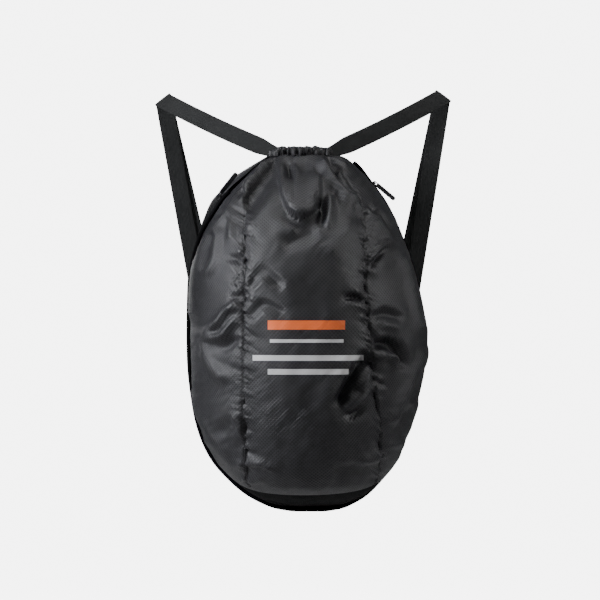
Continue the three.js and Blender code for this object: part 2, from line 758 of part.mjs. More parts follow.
function sliderGeometry() {
  const half = SLIDER_LENGTH / 2;
  const outline = new THREE.Shape();
  outline.moveTo(-half, -SLIDER_WIDTH * 0.32);
  outline.lineTo(-half * 0.3, -SLIDER_WIDTH / 2);
  outline.lineTo(half, -SLIDER_WIDTH / 2);
  outline.lineTo(half, SLIDER_WIDTH / 2);
  outline.lineTo(-half * 0.3, SLIDER_WIDTH / 2);
  outline.lineTo(-half, SLIDER_WIDTH * 0.32);
  outline.closePath();
  const pieces = [new THREE.ExtrudeGeometry(outline, { depth: SLIDER_HEIGHT, bevelEnabled: false })];
  const earRise = HINGE_RISE + HINGE_BAR;
  const earMiddle = (EAR_SPAN + EAR_THICKNESS) / 2;
  for (const side of [-1, 1])
    pieces.push(
      block(EAR_WIDTH, EAR_THICKNESS, earRise, 0, side * earMiddle, SLIDER_HEIGHT - 0.5 + earRise / 2),
    );
  const bar = new THREE.CylinderGeometry(HINGE_BAR / 2, HINGE_BAR / 2, EAR_SPAN + EAR_THICKNESS, 8);
  pieces.push(bar.translate(0, 0, HINGE_HEIGHT));
  return joined(pieces).translate(0, 0, -HINGE_HEIGHT);
}

// The pull: a flat eye round the slider's bar, then a ribbed rubber tab with a round end.
function pullGeometry() {
  const upright = (geometry) => geometry.rotateX(Math.PI / 2).translate(0, PULL_EYE_THICKNESS / 2, 0);
  const eyeRadius = PULL_EYE / 2;
  const eyeMiddle = PULL_EYE_LENGTH - PULL_EYE;
  const oval = (radius) => {
    const outline = new THREE.Shape();
    outline.absarc(0, 0, radius, Math.PI / 2, -Math.PI / 2, false);
    outline.absarc(eyeMiddle, 0, radius, -Math.PI / 2, Math.PI / 2, false);
    return outline;
  };
  const eye = oval(eyeRadius);
  eye.holes.push(new THREE.Path(oval(eyeRadius - PULL_EYE_WALL).getPoints(6)));
  const depth = PULL_EYE_THICKNESS;
  const link = new THREE.ExtrudeGeometry(eye, { depth, bevelEnabled: false, curveSegments: 6 });
  const pieces = [upright(link)];
  const start = eyeMiddle + eyeRadius - PULL_EYE_WALL * 0.8;
  const radius = PULL_WIDTH / 2;
  const run = PULL_LENGTH - radius;
  const tabThickness = PULL_THICKNESS * 0.7;
  pieces.push(block(run, tabThickness, PULL_WIDTH, start + run / 2, 0, 0));
  const tip = new THREE.CylinderGeometry(radius, radius, tabThickness, 16);
  pieces.push(tip.translate(start + run, 0, 0));
  const ribPitch = (PULL_LENGTH * 0.8) / PULL_RIBS;
  for (let k = 0; k < PULL_RIBS; k++)
    pieces.push(
      block(ribPitch * 0.5, PULL_THICKNESS, PULL_WIDTH * 0.82, start + ribPitch * (k + 0.6), 0, 0),
    );
  return joined(pieces);
}

// Where a slider stands: on the tape near the zip's end, with X along the zip.
function sliderMatrix(frame, heading) {
  const x = frame.along.clone().multiplyScalar(heading);
  const z = frame.out;
  const y = z.clone().cross(x);
  const origin = onFrame(frame, coilFoot + HINGE_HEIGHT, coilBack);
  return new THREE.Matrix4().makeBasis(x, y, z).setPosition(origin);
}

const leftFrame = zipFrames[sliderStation];
const rightFrame = zipFrames[zipFrames.length - 1 - sliderStation];
addPiece("slider_left", sliderGeometry(), SLIDER_METAL, sliderMatrix(leftFrame, 1));
addPiece("slider_right", sliderGeometry(), SLIDER_METAL, sliderMatrix(rightFrame, -1));
addPiece("pull_left", pullGeometry(), PULL_RUBBER, sliderMatrix(leftFrame, -1));
const lifted = new THREE.Matrix4().makeRotationY(-THREE.MathUtils.degToRad(RIGHT_PULL_LIFT));
addPiece("pull_right", pullGeometry(), PULL_RUBBER, sliderMatrix(rightFrame, -1).multiply(lifted));

// Straps

// A webbing laid through rows of edge points. n is the way its outer face looks.
function ribbonGeometry(rows) {
  const face = (side) =>
    rows.map(({ a, b, n }) => [a, b].map((p) => p.clone().addScaledVector(n, side * STRAP_THICKNESS / 2)));
  return wallGeometry(face(1), face(-1));
}

// One webbing of a pair. layer is 0 for the webbing inside the fold and 1 for the one outside it.
function strapRows(strap, layer) {
  const { side } = strap;
  const reach = (0.5 + layer) * STRAP_PITCH;
  const plane = (x, y, z) => new THREE.Vector3(side * x, y, z);
  const neckY = BACK_Y - NECK_SETBACK - NECK_DEPTH / 2;
  const neck = plane(NECK_WIDTH / 2 + 4.5, neckY, NECK_Z + CASING_HEIGHT * 0.42);
  const hang = plane(HANG_SPAN / 2, 0, strap.lift);
  const footBack = BACK_Y + BACK_THICKNESS + SEAM_GAP + TAB_THICKNESS + SEAM_GAP + STRAP_THICKNESS / 2;
  const footAway = (apart) => {
    const across = strap.footAcross * HALF_WIDTH - apart * strap.spread * STRAP_WIDTH;
    return plane(across, footBack, heightAt(strap.footUp));
  };
  const foot = footAway(layer);
  const flat = (v) => new THREE.Vector3(v.x, 0, v.z).normalize();
  const rising = flat(hang.clone().sub(neck));
  const falling = flat(foot.clone().sub(hang));
  const crease = flat(rising.clone().add(flat(footAway(0.5).sub(hang))));
  const outward = new THREE.Vector3(-crease.z, 0, crease.x);
  if (outward.z < 0) outward.negate();
  const creaseHalf = STRAP_WIDTH / 2 / Math.sqrt(1 - Math.pow(crease.dot(rising), 2));
  const squareTo = (d) => new THREE.Vector3(-d.z * side, 0, d.x * side).multiplyScalar(STRAP_WIDTH / 2);
  const rows = [];
  const addRow = (centre, half, n) =>
    rows.push({ a: centre.clone().sub(half), b: centre.clone().add(half), n });
  const facing = new THREE.Vector3(0, -1, 0);
  const riseHalf = squareTo(rising).negate();
  const runUp = 7;
  for (let k = 0; k <= runUp; k++) {
    const t = k / runUp;
    const centre = neck.clone().lerp(hang, t * 0.88);
    centre.y = mix(neck.y, 0, t * 0.88) - reach - layer * (1 - t);
    addRow(centre, riseHalf.clone().multiplyScalar(mix(0.84, 1, ease(t * 2))), facing);
  }
  const creaseLine = crease.clone().multiplyScalar(creaseHalf);
  const bend = 4;
  for (let k = 0; k <= bend; k++) {
    const turn = (k / bend) * Math.PI;
    const centre = hang.clone().addScaledVector(outward, reach * Math.sin(turn));
    centre.y = -reach * Math.cos(turn);
    const n = outward.clone().multiplyScalar(Math.sin(turn)).addScaledVector(facing, Math.cos(turn));
    addRow(centre, creaseLine, n);
  }
  const fallHalf = squareTo(falling).negate();
  const runDown = 9;
  for (let k = 0; k <= runDown; k++) {
    const t = mix(0.045, 1, k / runDown);
    const centre = hang.clone().lerp(foot, t);
    centre.y = mix(reach, foot.y + layer * STRAP_PITCH, t);
    addRow(centre, fallHalf.clone().negate(), facing.clone().negate());
  }
  return rows;
}

for (const strap of STRAPS) {
  for (const layer of [0, 1]) {
    const rows = strapRows(strap, layer);
    if (strap.side < 0) rows.forEach((row) => ([row.a, row.b] = [row.b, row.a]));
    addPiece(`strap_${strap.name}_${layer ? "outer" : "inner"}`, ribbonGeometry(rows), WEBBING);
  }
  const tabWidth = (1 + strap.spread) * STRAP_WIDTH + 2 * TAB_MARGIN;
  const middle = strap.footAcross * HALF_WIDTH - (strap.spread * STRAP_WIDTH) / 2;
  const patch = new THREE.Shape();
  patch.moveTo(-tabWidth / 2, TAB_HEIGHT * 0.3);
  patch.lineTo(-tabWidth * 0.3, -TAB_HEIGHT * 0.7);
  patch.lineTo(tabWidth * 0.3, -TAB_HEIGHT * 0.7);
  patch.lineTo(tabWidth / 2, TAB_HEIGHT * 0.3);
  patch.closePath();
  const tab = new THREE.ExtrudeGeometry(patch, { depth: TAB_THICKNESS, bevelEnabled: false });
  tab.rotateX(Math.PI / 2);
  const tabBack = BACK_Y + BACK_THICKNESS + SEAM_GAP + TAB_THICKNESS;
  tab.translate(strap.side * middle, tabBack, heightAt(strap.footUp) + TAB_RISE);
  addPiece(`strap_tab_${strap.name}`, tab, PLAIN_CLOTH);
}

export default helmetBag;
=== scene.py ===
import json
import math

import bmesh
import bpy
import numpy as np
from mathutils import Matrix, Vector

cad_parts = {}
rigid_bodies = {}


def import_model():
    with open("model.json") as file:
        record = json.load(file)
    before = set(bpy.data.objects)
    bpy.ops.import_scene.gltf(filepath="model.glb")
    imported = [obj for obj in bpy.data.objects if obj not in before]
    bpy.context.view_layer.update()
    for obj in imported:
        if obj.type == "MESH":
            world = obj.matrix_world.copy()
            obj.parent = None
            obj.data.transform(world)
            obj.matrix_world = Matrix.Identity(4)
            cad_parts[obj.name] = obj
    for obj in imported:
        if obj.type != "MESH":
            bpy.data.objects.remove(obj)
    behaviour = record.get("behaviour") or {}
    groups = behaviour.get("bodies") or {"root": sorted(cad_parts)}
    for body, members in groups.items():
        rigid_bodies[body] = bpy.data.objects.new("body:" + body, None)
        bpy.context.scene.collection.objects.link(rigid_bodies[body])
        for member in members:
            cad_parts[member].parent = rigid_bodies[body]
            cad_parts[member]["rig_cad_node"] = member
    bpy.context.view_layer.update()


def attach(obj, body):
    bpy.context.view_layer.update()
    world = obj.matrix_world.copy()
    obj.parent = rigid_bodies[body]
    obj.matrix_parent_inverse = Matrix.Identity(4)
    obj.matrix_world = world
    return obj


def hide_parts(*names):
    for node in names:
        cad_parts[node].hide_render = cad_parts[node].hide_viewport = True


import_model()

MM = 0.001

# Sizes of the bag in millimetres, and places on it as shares of its height or width. A height v
# goes up the pouch from 0 at the foot to 1 at the neck.
BODY_HEIGHT = 507
HALF_WIDTH = 177
BODY_DEPTH = 235
LEAST_DEPTH = 2
WIDEST_PART = 0.97
SQUARENESS = 2.3
BACK_Y = -14.1
BACK_THICKNESS = 2.6
BACK_LEAN_FROM = 0.85
LINING_INSIDE = 2.4
FOOT_LOWEST = 0.002
FOOT_MIDDLE = 0.05
FOOT_CORNER = 0.135
FOOT_CURVE = 2.2
MIDDLE_TURN = 0.5
BASE_SAG = 1.2
BACK_WAVE = 0.8

# The gathered neck
NECK_Z = -82.5
NECK_HALF = 45
NECK_SETBACK = 54
NECK_DEPTH = 31
NECK_CROWN = 9
NECK_COUNT = 720
CASING_WALL = 4.2
CASING_HEIGHT = 14.5
CASING_FOOT = -3.5
CASING_BELLY = 2.2
PLEAT_PITCH = 3.7
PLEAT_DEPTH = 3.4
PLEAT_RISE = 1.6
RIM_WAVE = 1.2

# The zip and the piping beside it. The band between the pouch's edge and its back closes above the
# zip, and the right edge is tucked behind it.
BAND_WIDTH = 10
BAND_CLOSED = 0.4
BAND_CLOSE_FROM = 0.01
BAND_CLOSE_RATE = 18
TUCK = 7
TUCK_DEPTH = 45
TUCK_AT_FOOT = 0.3
TUCK_FOOT_RATE = 10
TUCK_NECK_RATE = 12
ZIP_TOP_LEFT = 0.885
ZIP_TOP_RIGHT = 0.925
PIPING_TOP_LEFT = 0.89
PIPING_TOP_RIGHT = 0.975
WRAP_SHARE = 0.28
EDGE_COUNT = 420
TAPE_OUT = (-0.9, 1.1)
TAPE_BACK = (-0.6, BAND_WIDTH - 0.2)
PIPING_RADIUS = 3.2
PIPING_OUT = 2.7
PIPING_BACK = -1.6
TOOTH_PITCH = 2.4
TOOTH_SIZE = (1.5, 3.6, 2)
TOOTH_OUT = 1.7
TOOTH_BACK = BAND_WIDTH / 2 - 0.4
TOOTH_SHIFT = 0.9
TEETH_FROM_END = 12

# Stitches beside the gathered seams
STITCH_PITCH = 3.4
STITCH_OFF = 2.6
STITCH_SIZE = (2.4, 0.9, 0.8)

# Webbing
STRAP_WIDTH = 24.6
STRAP_THICKNESS = 1.5
STRAP_PITCH = 2
STRAP_SAG = 2.5
STRAP_BOW = 0.25
STRAP_SPREAD = 1.02
STRAP_OFF_BACK = 2.8
HANG_HALF = 202

# The photograph's scale, and where its camera looks
PICTURE = 600
MM_PER_PIXEL = 1.45
VIEW_X = -4.35
VIEW_Z = -290
VIEW_DISTANCE = 5000
SENSOR = 36

SECTION_COLUMNS = ("v", "left", "right", "front", "back")
SECTIONS = [
    (0, 0.08, 0.18, 0.008, 0),
    (0.009, 0.23, 0.33, 0.14, 0),
    (0.02, 0.31, 0.41, 0.3, 0),
    (0.043, 0.435, 0.533, 0.56, 0),
    (0.077, 0.557, 0.639, 0.76, 0),
    (0.146, 0.73, 0.787, 0.89, 0),
    (0.214, 0.82, 0.861, 0.945, 0),
    (0.283, 0.869, 0.926, 0.975, 0),
    (0.42, 0.914, 1.008, 1, 0),
    (0.489, 0.918, 1.016, 1, 0),
    (0.626, 0.91, 0.955, 0.975, 0),
    (0.763, 0.844, 0.828, 0.895, 0),
    (0.831, 0.779, 0.745, 0.8, 0.002),
    (0.866, 0.735, 0.69, 0.73, 0.012),
    (0.9, 0.65, 0.62, 0.645, 0.04),
    (0.934, 0.56, 0.54, 0.55, 0.085),
    (0.969, 0.41, 0.435, 0.45, 0.155),
    (1, 0.254, 0.254, 0.362, 0.23),
]
SEAM_COLUMNS = ("v", "left", "right", "zip")
SEAM_LINES = [
    (0, 0.05, 0.1, 0),
    (0.043, 0.37, 0.46, 0),
    (0.1, 0.45, 0.61, 0),
    (0.23, 0.47, 0.62, 0),
    (0.36, 0.475, 0.56, 0),
    (0.5, 0.475, 0.53, 0),
    (0.65, 0.475, 0.495, 0.025),
    (0.76, 0.475, 0.49, 0.115),
    (0.86, 0.46, 0.48, 0.205),
    (0.92, 0.36, 0.38, 0.215),
    (1, 0.19, 0.17, 0.11),
]

# Folds as they show from the front. Their columns are the shape, the rise in millimetres, the widths
# in pixels on the left and the right hand of the path, and the path in pixels of the photograph. A
# lip falls off steeply on its far side, and a crease is a narrow V.
FOLDS = [
    # The big pleat on the left of the neck
    ("lip", 5, 15, 5, [(273, 158), (262, 170), (252, 185), (240, 205)]),
    ("ridge", 3, 2.6, 2.6, [(244, 193), (235, 203), (231, 216), (231, 229), (229, 241)]),
    ("ridge", 4, 3, 4, [(253, 172), (240, 190), (228, 211), (218, 226), (217, 245), (216, 260),
                        (211, 270), (202, 279)]),
    ("ridge", 3.5, 3, 3.5, [(222, 214), (209, 233), (200, 251), (199, 267), (202, 278)]),
    ("crease", -2.5, 3, 3, [(256, 163), (247, 176), (238, 188)]),
    ("crease", -2, 3, 3, [(246, 168), (236, 179), (225, 193)]),
    # The dark gap at the tongue's top, and the hollow under its edge
    ("ridge", -7, 3, 3, [(287, 160), (289, 172), (290, 186)]),
    ("crease", -2.5, 2.4, 2.4, [(294, 160), (300, 168), (306, 178)]),
    ("crease", -2.5, 2.4, 2.4, [(303, 158), (310, 167), (316, 178)]),
    ("ridge", -3, 4, 4, [(281, 210), (289, 221), (301, 225), (313, 222), (320, 210)]),
    # The pleat on the right and the hollow beside it
    ("lip", 8, 14, 4, [(361, 203), (354, 200), (347, 198), (341, 192), (331, 178), (319, 160)]),
    ("ridge", -7, 4, 4, [(325, 161), (334, 172), (344, 188)]),
    ("ridge", 3, 4, 4, [(330, 157), (340, 162), (350, 172)]),
    # The right gusset's shoulder
    ("crease", -2.5, 3, 3, [(339, 172), (353, 188), (367, 202), (387, 223), (397, 234)]),
    ("ridge", 3, 4, 4, [(361, 203), (368, 213), (373, 227), (381, 239)]),
    ("ridge", 3, 7, 7, [(372, 205), (385, 226), (396, 250)]),
    # The narrow valley under the tongue's right edge, and the planes beside and under it
    ("ridge", -6, 4, 4, [(320, 196), (322, 212), (324, 228)]),
    ("ridge", 5, 4, 6, [(330, 192), (329, 208), (327, 228)]),
    ("ridge", 3, 14, 9, [(352, 222), (340, 240), (327, 259)]),
    ("ridge", -5, 8, 8, [(281, 246), (300, 236), (320, 228)]),
    ("ridge", 3, 10, 14, [(275, 187), (262, 210), (247, 229)]),
    # Puckers across the left seam
    ("crease", -4, 2.6, 2.6, [(226, 257), (238, 259), (251, 258)]),
    ("crease", -3, 2.4, 2.4, [(230, 282), (240, 281), (248, 282)]),
    ("crease", -3.5, 2.4, 2.4, [(229, 297), (239, 298), (249, 297)]),
    ("ridge", -3, 4, 4, [(246, 289), (262, 269), (284, 289)]),
    ("ridge", -3, 4, 4, [(246, 320), (262, 304), (286, 313)]),
    # The star of folds on the left gusset, and those under it
    ("ridge", 4, 4, 6, [(201, 338), (213, 328), (224, 316), (236, 301)]),
    ("ridge", 4.5, 3, 3, [(202, 340), (214, 338), (224, 334), (236, 316)]),
    ("ridge", -5, 5, 4, [(216, 352), (226, 347), (236, 336)]),
    ("ridge", 3.5, 2.6, 2.6, [(202, 341), (213, 364), (229, 380)]),
    ("ridge", 3, 2.6, 2.6, [(201, 350), (209, 369), (226, 384)]),
    ("ridge", 3, 5, 4, [(196, 252), (191, 284), (189, 320)]),
    ("ridge", -3, 5, 5, [(224, 420), (222, 437)]),
    ("ridge", 3, 2.6, 2.6, [(232, 411), (239, 427), (243, 436)]),
    ("ridge", 3, 3, 3, [(190, 386), (199, 414), (213, 439), (231, 455)]),
    ("ridge", 2.5, 2.6, 2.6, [(206, 436), (223, 455), (236, 468)]),
    ("ridge", 2.5, 2.4, 2.4, [(234, 463), (262, 463), (276, 471)]),
    ("ridge", 2, 2.4, 2.4, [(236, 478), (252, 480), (266, 480)]),
    # The lower right corner
    ("crease", -4, 3, 2.4, [(332, 470), (358, 469), (385, 468)]),
    ("ridge", 4, 5, 5, [(358, 463), (371, 459), (384, 455)]),
    ("ridge", -3, 6, 6, [(332, 478), (356, 478), (383, 475)]),
    # Folds beside the right seam
    ("ridge", 4.5, 3, 3, [(367, 268), (376, 254), (384, 243), (389, 244), (391, 250)]),
    ("crease", -4, 2, 2, [(369, 267), (377, 256), (383, 249)]),
    ("ridge", -5, 2.6, 2.6, [(343, 298), (353, 297), (364, 299)]),
    ("ridge", -5, 4, 4, [(371, 319), (383, 313), (394, 315), (404, 321)]),
    ("ridge", 3, 4, 4, [(379, 323), (390, 325), (402, 331)]),
    # The arch and the finger under it
    ("ridge", -11, 4, 4, [(374, 347), (387, 342), (396, 346), (400, 356), (404, 369)]),
    ("ridge", -9, 4, 4, [(371, 352), (362, 361), (356, 372), (348, 387), (341, 399), (338, 408)]),
    ("ridge", 7, 5, 5, [(374, 363), (384, 353), (393, 356), (396, 368)]),
    ("ridge", 5, 4, 5, [(357, 391), (364, 379), (371, 369)]),
    ("ridge", 5, 5, 4, [(344, 407), (352, 404), (362, 400), (371, 384)]),
    ("ridge", -5, 3, 3, [(366, 408), (352, 416), (342, 414)]),
    ("crease", -3, 2.4, 2.4, [(376, 386), (386, 382)]),
    # The right gusset's long folds
    ("ridge", 4, 3.5, 3.5, [(402, 252), (410, 277), (415, 306), (422, 335)]),
    ("ridge", 4.5, 4, 4, [(424, 346), (421, 361), (412, 378), (400, 400), (392, 425)]),
    ("ridge", -4, 4, 4, [(410, 404), (402, 425), (396, 439)]),
    ("ridge", 3, 3, 4, [(386, 446), (394, 443), (402, 441)]),
]

# The tongue of cloth that hangs from the neck: its sides at heights y, in pixels of the photograph
TONGUE_COLUMNS = ("y", "left", "right")
TONGUE = [
    (156, 274, 311),
    (172, 278, 316),
    (184, 280, 320),
    (195, 281.5, 320.5),
    (205, 284.5, 318),
    (212, 289, 313.5),
    (217, 295, 307.5),
    (219, 300, 302),
]
TONGUE_RISE = 10
TONGUE_EDGE = 5.5
TONGUE_ROLL = 0.25
TONGUE_ROOT = 40

# How the folds become samples of the cloth's lift. Steps and reaches are in pixels of the
# photograph, and dips in millimetres.
FOLD_STEP = 4
FOLD_HEIGHT = 1.5
FOLD_FADE = 12
FOLD_END = 0.2
FOOT_REACH = {"ridge": 1.7, "crease": 2.2, "lip": 1.5}
FOOT_UNDER = -0.45
FOOT_CLEAR = 0.8
SEAM_DIP = 3
SEAM_SAMPLES = 70
FLAT_ACROSS = range(180, 440, 22)
FLAT_DOWN = range(150, 520, 22)
FLAT_CLEAR = 17
SOFTNESS = 1.5
GIVE = 0.35
RUN = 8000

# The groove of a seam and the gathers beside it. A gather's columns are its lift, its pitch along
# the seam, its length across, how far it reaches and how sharply it ends, in millimetres.
GROOVE = 1.5
GROOVE_WIDTH = 3
GATHERS = [(4.2, 7, 30, 13, 1.4), (3.5, 19, 70, 30, 2)]
GATHER_SLANT = 0.35
GATHER_WANDER = 3
GATHER_REST = 0.35

# Small folds that fan out from the neck, wide waves, and creases that run aslant. The columns are
# the lift in millimetres, then for creases the slant, and the sizes in pixels of the photograph.
FAN_FROM = 0.8
FAN_MIDDLE = 303
FAN_SPREAD = 1.2
FAN_LIFT = 3
FAN_PITCH = 9
WAVES = [(1.6, 26, 34), (0.8, 11, 13)]
CREASES = [(0.6, 0.7, 9, 30), (0.5, -0.5, 34, 8)]
CREASE_REST = 0.3

# Seeds of the noise, each by what it drives. A row of waves or creases takes the next seed on, and
# the other hand of a seam one that is OTHER_HAND on.
SEEDS = {
    "left seam": 7,
    "right seam": 17,
    "fan": 47,
    "waves": 57,
    "creases": 59,
    "base": 67,
    "back": 77,
    "pleat drift": 87,
    "pleats": 88,
    "broad pleats": 89,
    "rim": 90,
    "pleat slant": 91,
}
OTHER_HAND = 3

# How fast the folds fade out to the panels' edges, the neck and the foot, and below what height and
# how fast the gathers beside the seams set in
EDGE_FADE = 14
NECK_FADE = 60
FOOT_FADE = 30
FADE_REST = 0.1
GATHERS_TOP = 0.93
GATHERS_FADE = 8


def column(rows, names, key, at):
    """A table's column on a curve through its rows that never overshoots them."""
    k = names.index(key)
    xs = np.array([row[0] for row in rows], float)
    ys = np.array([row[k] for row in rows], float)
    slopes = np.diff(ys) / np.diff(xs)
    before, after = slopes[:-1], slopes[1:]
    same = before * after > 0
    inner = np.where(same, 2 * before * after / np.where(same, before + after, 1), 0)
    tangents = np.concatenate([slopes[:1], inner, slopes[-1:]])
    at = np.clip(at, xs[0], xs[-1])
    i = np.clip(np.searchsorted(xs, at, side="right") - 1, 0, len(xs) - 2)
    step = xs[i + 1] - xs[i]
    t = (at - xs[i]) / step
    return (
        (2 * t**3 - 3 * t**2 + 1) * ys[i]
        + (t**3 - 2 * t**2 + t) * step * tangents[i]
        + (3 * t**2 - 2 * t**3) * ys[i + 1]
        + (t**3 - t**2) * step * tangents[i + 1]
    )


def ease(x):
    x = np.clip(x, 0, 1)
    return x * x * (3 - 2 * x)


def mix(a, b, t):
    return a + (b - a) * t


def unit(a):
    return a / np.maximum(np.linalg.norm(a, axis=-1, keepdims=True), 1e-9)


def lengths_along(points):
    """How far each point of a line is along it."""
    return np.concatenate([[0], np.cumsum(np.linalg.norm(np.diff(points, axis=0), axis=1))])


def points_at(wanted, passed, points):
    """The points of a line at the wanted lengths along it."""
    return np.stack([np.interp(wanted, passed, values) for values in points.T], -1)


def height_at(v):
    return NECK_Z - (1 - v) * BODY_HEIGHT


def closing_band(v, top):
    return mix(BAND_WIDTH, BAND_CLOSED, ease((v - top - BAND_CLOSE_FROM) * BAND_CLOSE_RATE))


def lean_at(v):
    return ease((v - BACK_LEAN_FROM) / (1 - BACK_LEAN_FROM))


def section(v):
    """The level section at v: its reach to the left and right, where its back and edge are, and its
    depth in front of the edge."""

    def read(key):
        return column(SECTIONS, SECTION_COLUMNS, key, v)

    back = BACK_Y - read("back") * BODY_DEPTH
    edge = back - closing_band(v, ZIP_TOP_RIGHT)
    front = BACK_Y - read("front") * BODY_DEPTH
    depth = np.maximum(edge - front, LEAST_DEPTH)
    return read("left") * HALF_WIDTH, read("right") * HALF_WIDTH, back, edge, depth


def skin(turn, v):
    """The pouch's smooth outside, in millimetres. turn goes from 0 at the left back corner round
    the front to 1 at the right back corner, and v from 0 at the foot to 1 at the neck."""
    turn, v = np.broadcast_arrays(np.asarray(turn, float), np.asarray(v, float))
    left, right, _, edge, depth = section(v)
    c, q = np.cos(turn * np.pi), np.maximum(np.sin(turn * np.pi), 0)
    reach = np.where(turn < MIDDLE_TURN, left, right)
    r = ((np.abs(c) / reach) ** SQUARENESS + (q / depth) ** SQUARENESS) ** (-1 / SQUARENESS)
    drawn = ease(v * TUCK_FOOT_RATE + TUCK_AT_FOOT) * ease((1 - v) * TUCK_NECK_RATE)
    drawn = drawn * ease(depth / TUCK_DEPTH)
    tuck = np.where(turn < MIDDLE_TURN, 0, TUCK * drawn)
    x = -r * c - tuck * np.clip(1 - r * q / TUCK_DEPTH, 0, 1) ** 2
    return np.stack([x, edge - r * q, height_at(v)], -1)


def turn_across(share, v):
    """The turn at which the front shows at a share of half the width, up to just inside the edge."""
    left, right, _, _, depth = section(v)
    x = share * HALF_WIDTH
    reach = np.where(x < 0, left, right)
    part = np.minimum(np.abs(x) / reach, WIDEST_PART)
    y = depth * (1 - part**SQUARENESS) ** (1 / SQUARENESS)
    return np.arctan2(y, -np.sign(x) * part * reach) / np.pi


def seam_left(v):
    return turn_across(-column(SEAM_LINES, SEAM_COLUMNS, "left", v), v)


def seam_right(v):
    return turn_across(column(SEAM_LINES, SEAM_COLUMNS, "right", v), v)


def zip_left(v):
    return column(SEAM_LINES, SEAM_COLUMNS, "zip", v)


def foot_at(turn):
    return mix(FOOT_MIDDLE, FOOT_CORNER, np.abs(2 * turn - 1) ** FOOT_CURVE)


def normal_at(turn, v):
    step = 2e-3
    around = skin(turn + step, v) - skin(turn - step, v)
    up = skin(turn, np.minimum(v + step, 1)) - skin(turn, np.maximum(v - step, 0))
    return unit(np.cross(around, up))


def seen_from_front(p):
    """Where points in millimetres show in the photograph, in pixels."""
    scale = VIEW_DISTANCE / (VIEW_DISTANCE + p[..., 1]) / MM_PER_PIXEL
    middle = PICTURE / 2
    return middle + (p[..., 0] - VIEW_X) * scale, middle - (p[..., 2] - VIEW_Z) * scale


def lattice(ix, iy, seed):
    """A fixed random number from 0 to 1 for each pair of whole numbers."""
    h = (ix * 374761393 + iy * 668265263 + seed * 974711) & 0x7FFFFFFF
    h = ((h ^ (h >> 13)) * 1274126177) & 0x7FFFFFFF
    return ((h ^ (h >> 16)) & 0xFFFF) / 65535


def noise(x, y, seed):
    """Smooth noise from -1 to 1 with one bump per unit."""
    x, y = np.broadcast_arrays(np.asarray(x, float), np.asarray(y, float))
    ix, iy = np.floor(x).astype(np.int64), np.floor(y).astype(np.int64)
    tx, ty = ease(x - ix), ease(y - iy)
    low = mix(lattice(ix, iy, seed), lattice(ix + 1, iy, seed), tx)
    high = mix(lattice(ix, iy + 1, seed), lattice(ix + 1, iy + 1, seed), tx)
    return 2 * mix(low, high, ty) - 1


def walk(path, step):
    """Evenly spaced points along a path, their unit directions and how far each is along it."""
    corners = np.array(path, float)
    passed = lengths_along(corners)
    wanted = np.linspace(0, passed[-1], max(int(passed[-1] / step), 2) + 1)
    points = points_at(wanted, passed, corners)
    return points, unit(np.gradient(points, axis=0)), wanted


def drape_samples():
    """Known lifts of the cloth: points of the front view in pixels with lifts in millimetres.
    Along each fold they follow its rise, and at its feet on both hands they are back at the cloth."""
    crests, feet = [], []
    for shape, rise, near, far, path in FOLDS:
        points, ways, along = walk(path, FOLD_STEP)
        fade = min(FOLD_FADE, along[-1] / 2.2)
        ends = ease(np.minimum(along, along[-1] - along) / fade + FOLD_END)
        rise = rise * FOLD_HEIGHT
        crests += [(*point, rise * end) for point, end in zip(points, ends)]
        left_hand = np.stack([ways[:, 1], -ways[:, 0]], -1)
        far_foot = FOOT_UNDER if shape == "lip" else 0
        for hand, width, foot in ((1, near, 0), (-1, far, far_foot)):
            reach = width * FOOT_REACH[shape]
            for point, end in zip(points + hand * reach * left_hand, ends):
                feet.append((*point, foot * rise * end, reach))
    for seam in (seam_left, seam_right):
        v = np.linspace(FOOT_MIDDLE + 0.03, 0.97, SEAM_SAMPLES)
        x, y = seen_from_front(skin(seam(v), v))
        crests += [(*point, -SEAM_DIP) for point in zip(x, y)]
    crests = np.array(crests)

    def from_crests(x, y):
        return np.hypot(crests[:, 0] - x, crests[:, 1] - y).min()

    kept = [(x, y, lift) for x, y, lift, reach in feet if from_crests(x, y) > FOOT_CLEAR * reach]
    grid = [(x, y, 0) for x in FLAT_ACROSS for y in FLAT_DOWN]
    flat = [(x, y, lift) for x, y, lift in grid if from_crests(x, y) > FLAT_CLEAR]
    return np.concatenate([crests, kept, flat])


SAMPLES = drape_samples()


def spread(x, y):
    """Distances to the samples, rounded off near each so that the folds' crests are soft."""
    off_x, off_y = x[:, None] - SAMPLES[:, 0], y[:, None] - SAMPLES[:, 1]
    return np.sqrt(off_x**2 + off_y**2 + SOFTNESS**2)


def solve_drape():
    """Weights of the surface that passes near the samples in straight runs of cloth."""
    count = len(SAMPLES)
    system = np.ones((count + 1, count + 1))
    system[:count, :count] = spread(SAMPLES[:, 0], SAMPLES[:, 1]) - GIVE * np.eye(count)
    system[count, count] = 0
    return np.linalg.solve(system, np.append(SAMPLES[:, 2], 0))


DRAPE = solve_drape()


def drape_lift(x, y):
    x, y = x.ravel(), y.ravel()
    lifts = []
    for first in range(0, len(x), RUN):
        run = slice(first, first + RUN)
        lifts.append(spread(x[run], y[run]) @ DRAPE[:-1] + DRAPE[-1])
    return np.concatenate(lifts)


def tongue_lift(x, y):
    """The tongue as one smooth plane with a rolled edge, in millimetres."""
    left = column(TONGUE, TONGUE_COLUMNS, "left", y)
    right = column(TONGUE, TONGUE_COLUMNS, "right", y)
    inside = np.minimum(np.minimum(x - left, right - x), TONGUE[-1][0] - y)
    edge = ease(inside / TONGUE_EDGE + 0.5)
    roll = TONGUE_ROLL * np.exp(-(((inside - TONGUE_EDGE) / TONGUE_EDGE) ** 2))
    return TONGUE_RISE * ease((y - TONGUE[0][0]) / TONGUE_ROOT) * edge * (1 + roll)


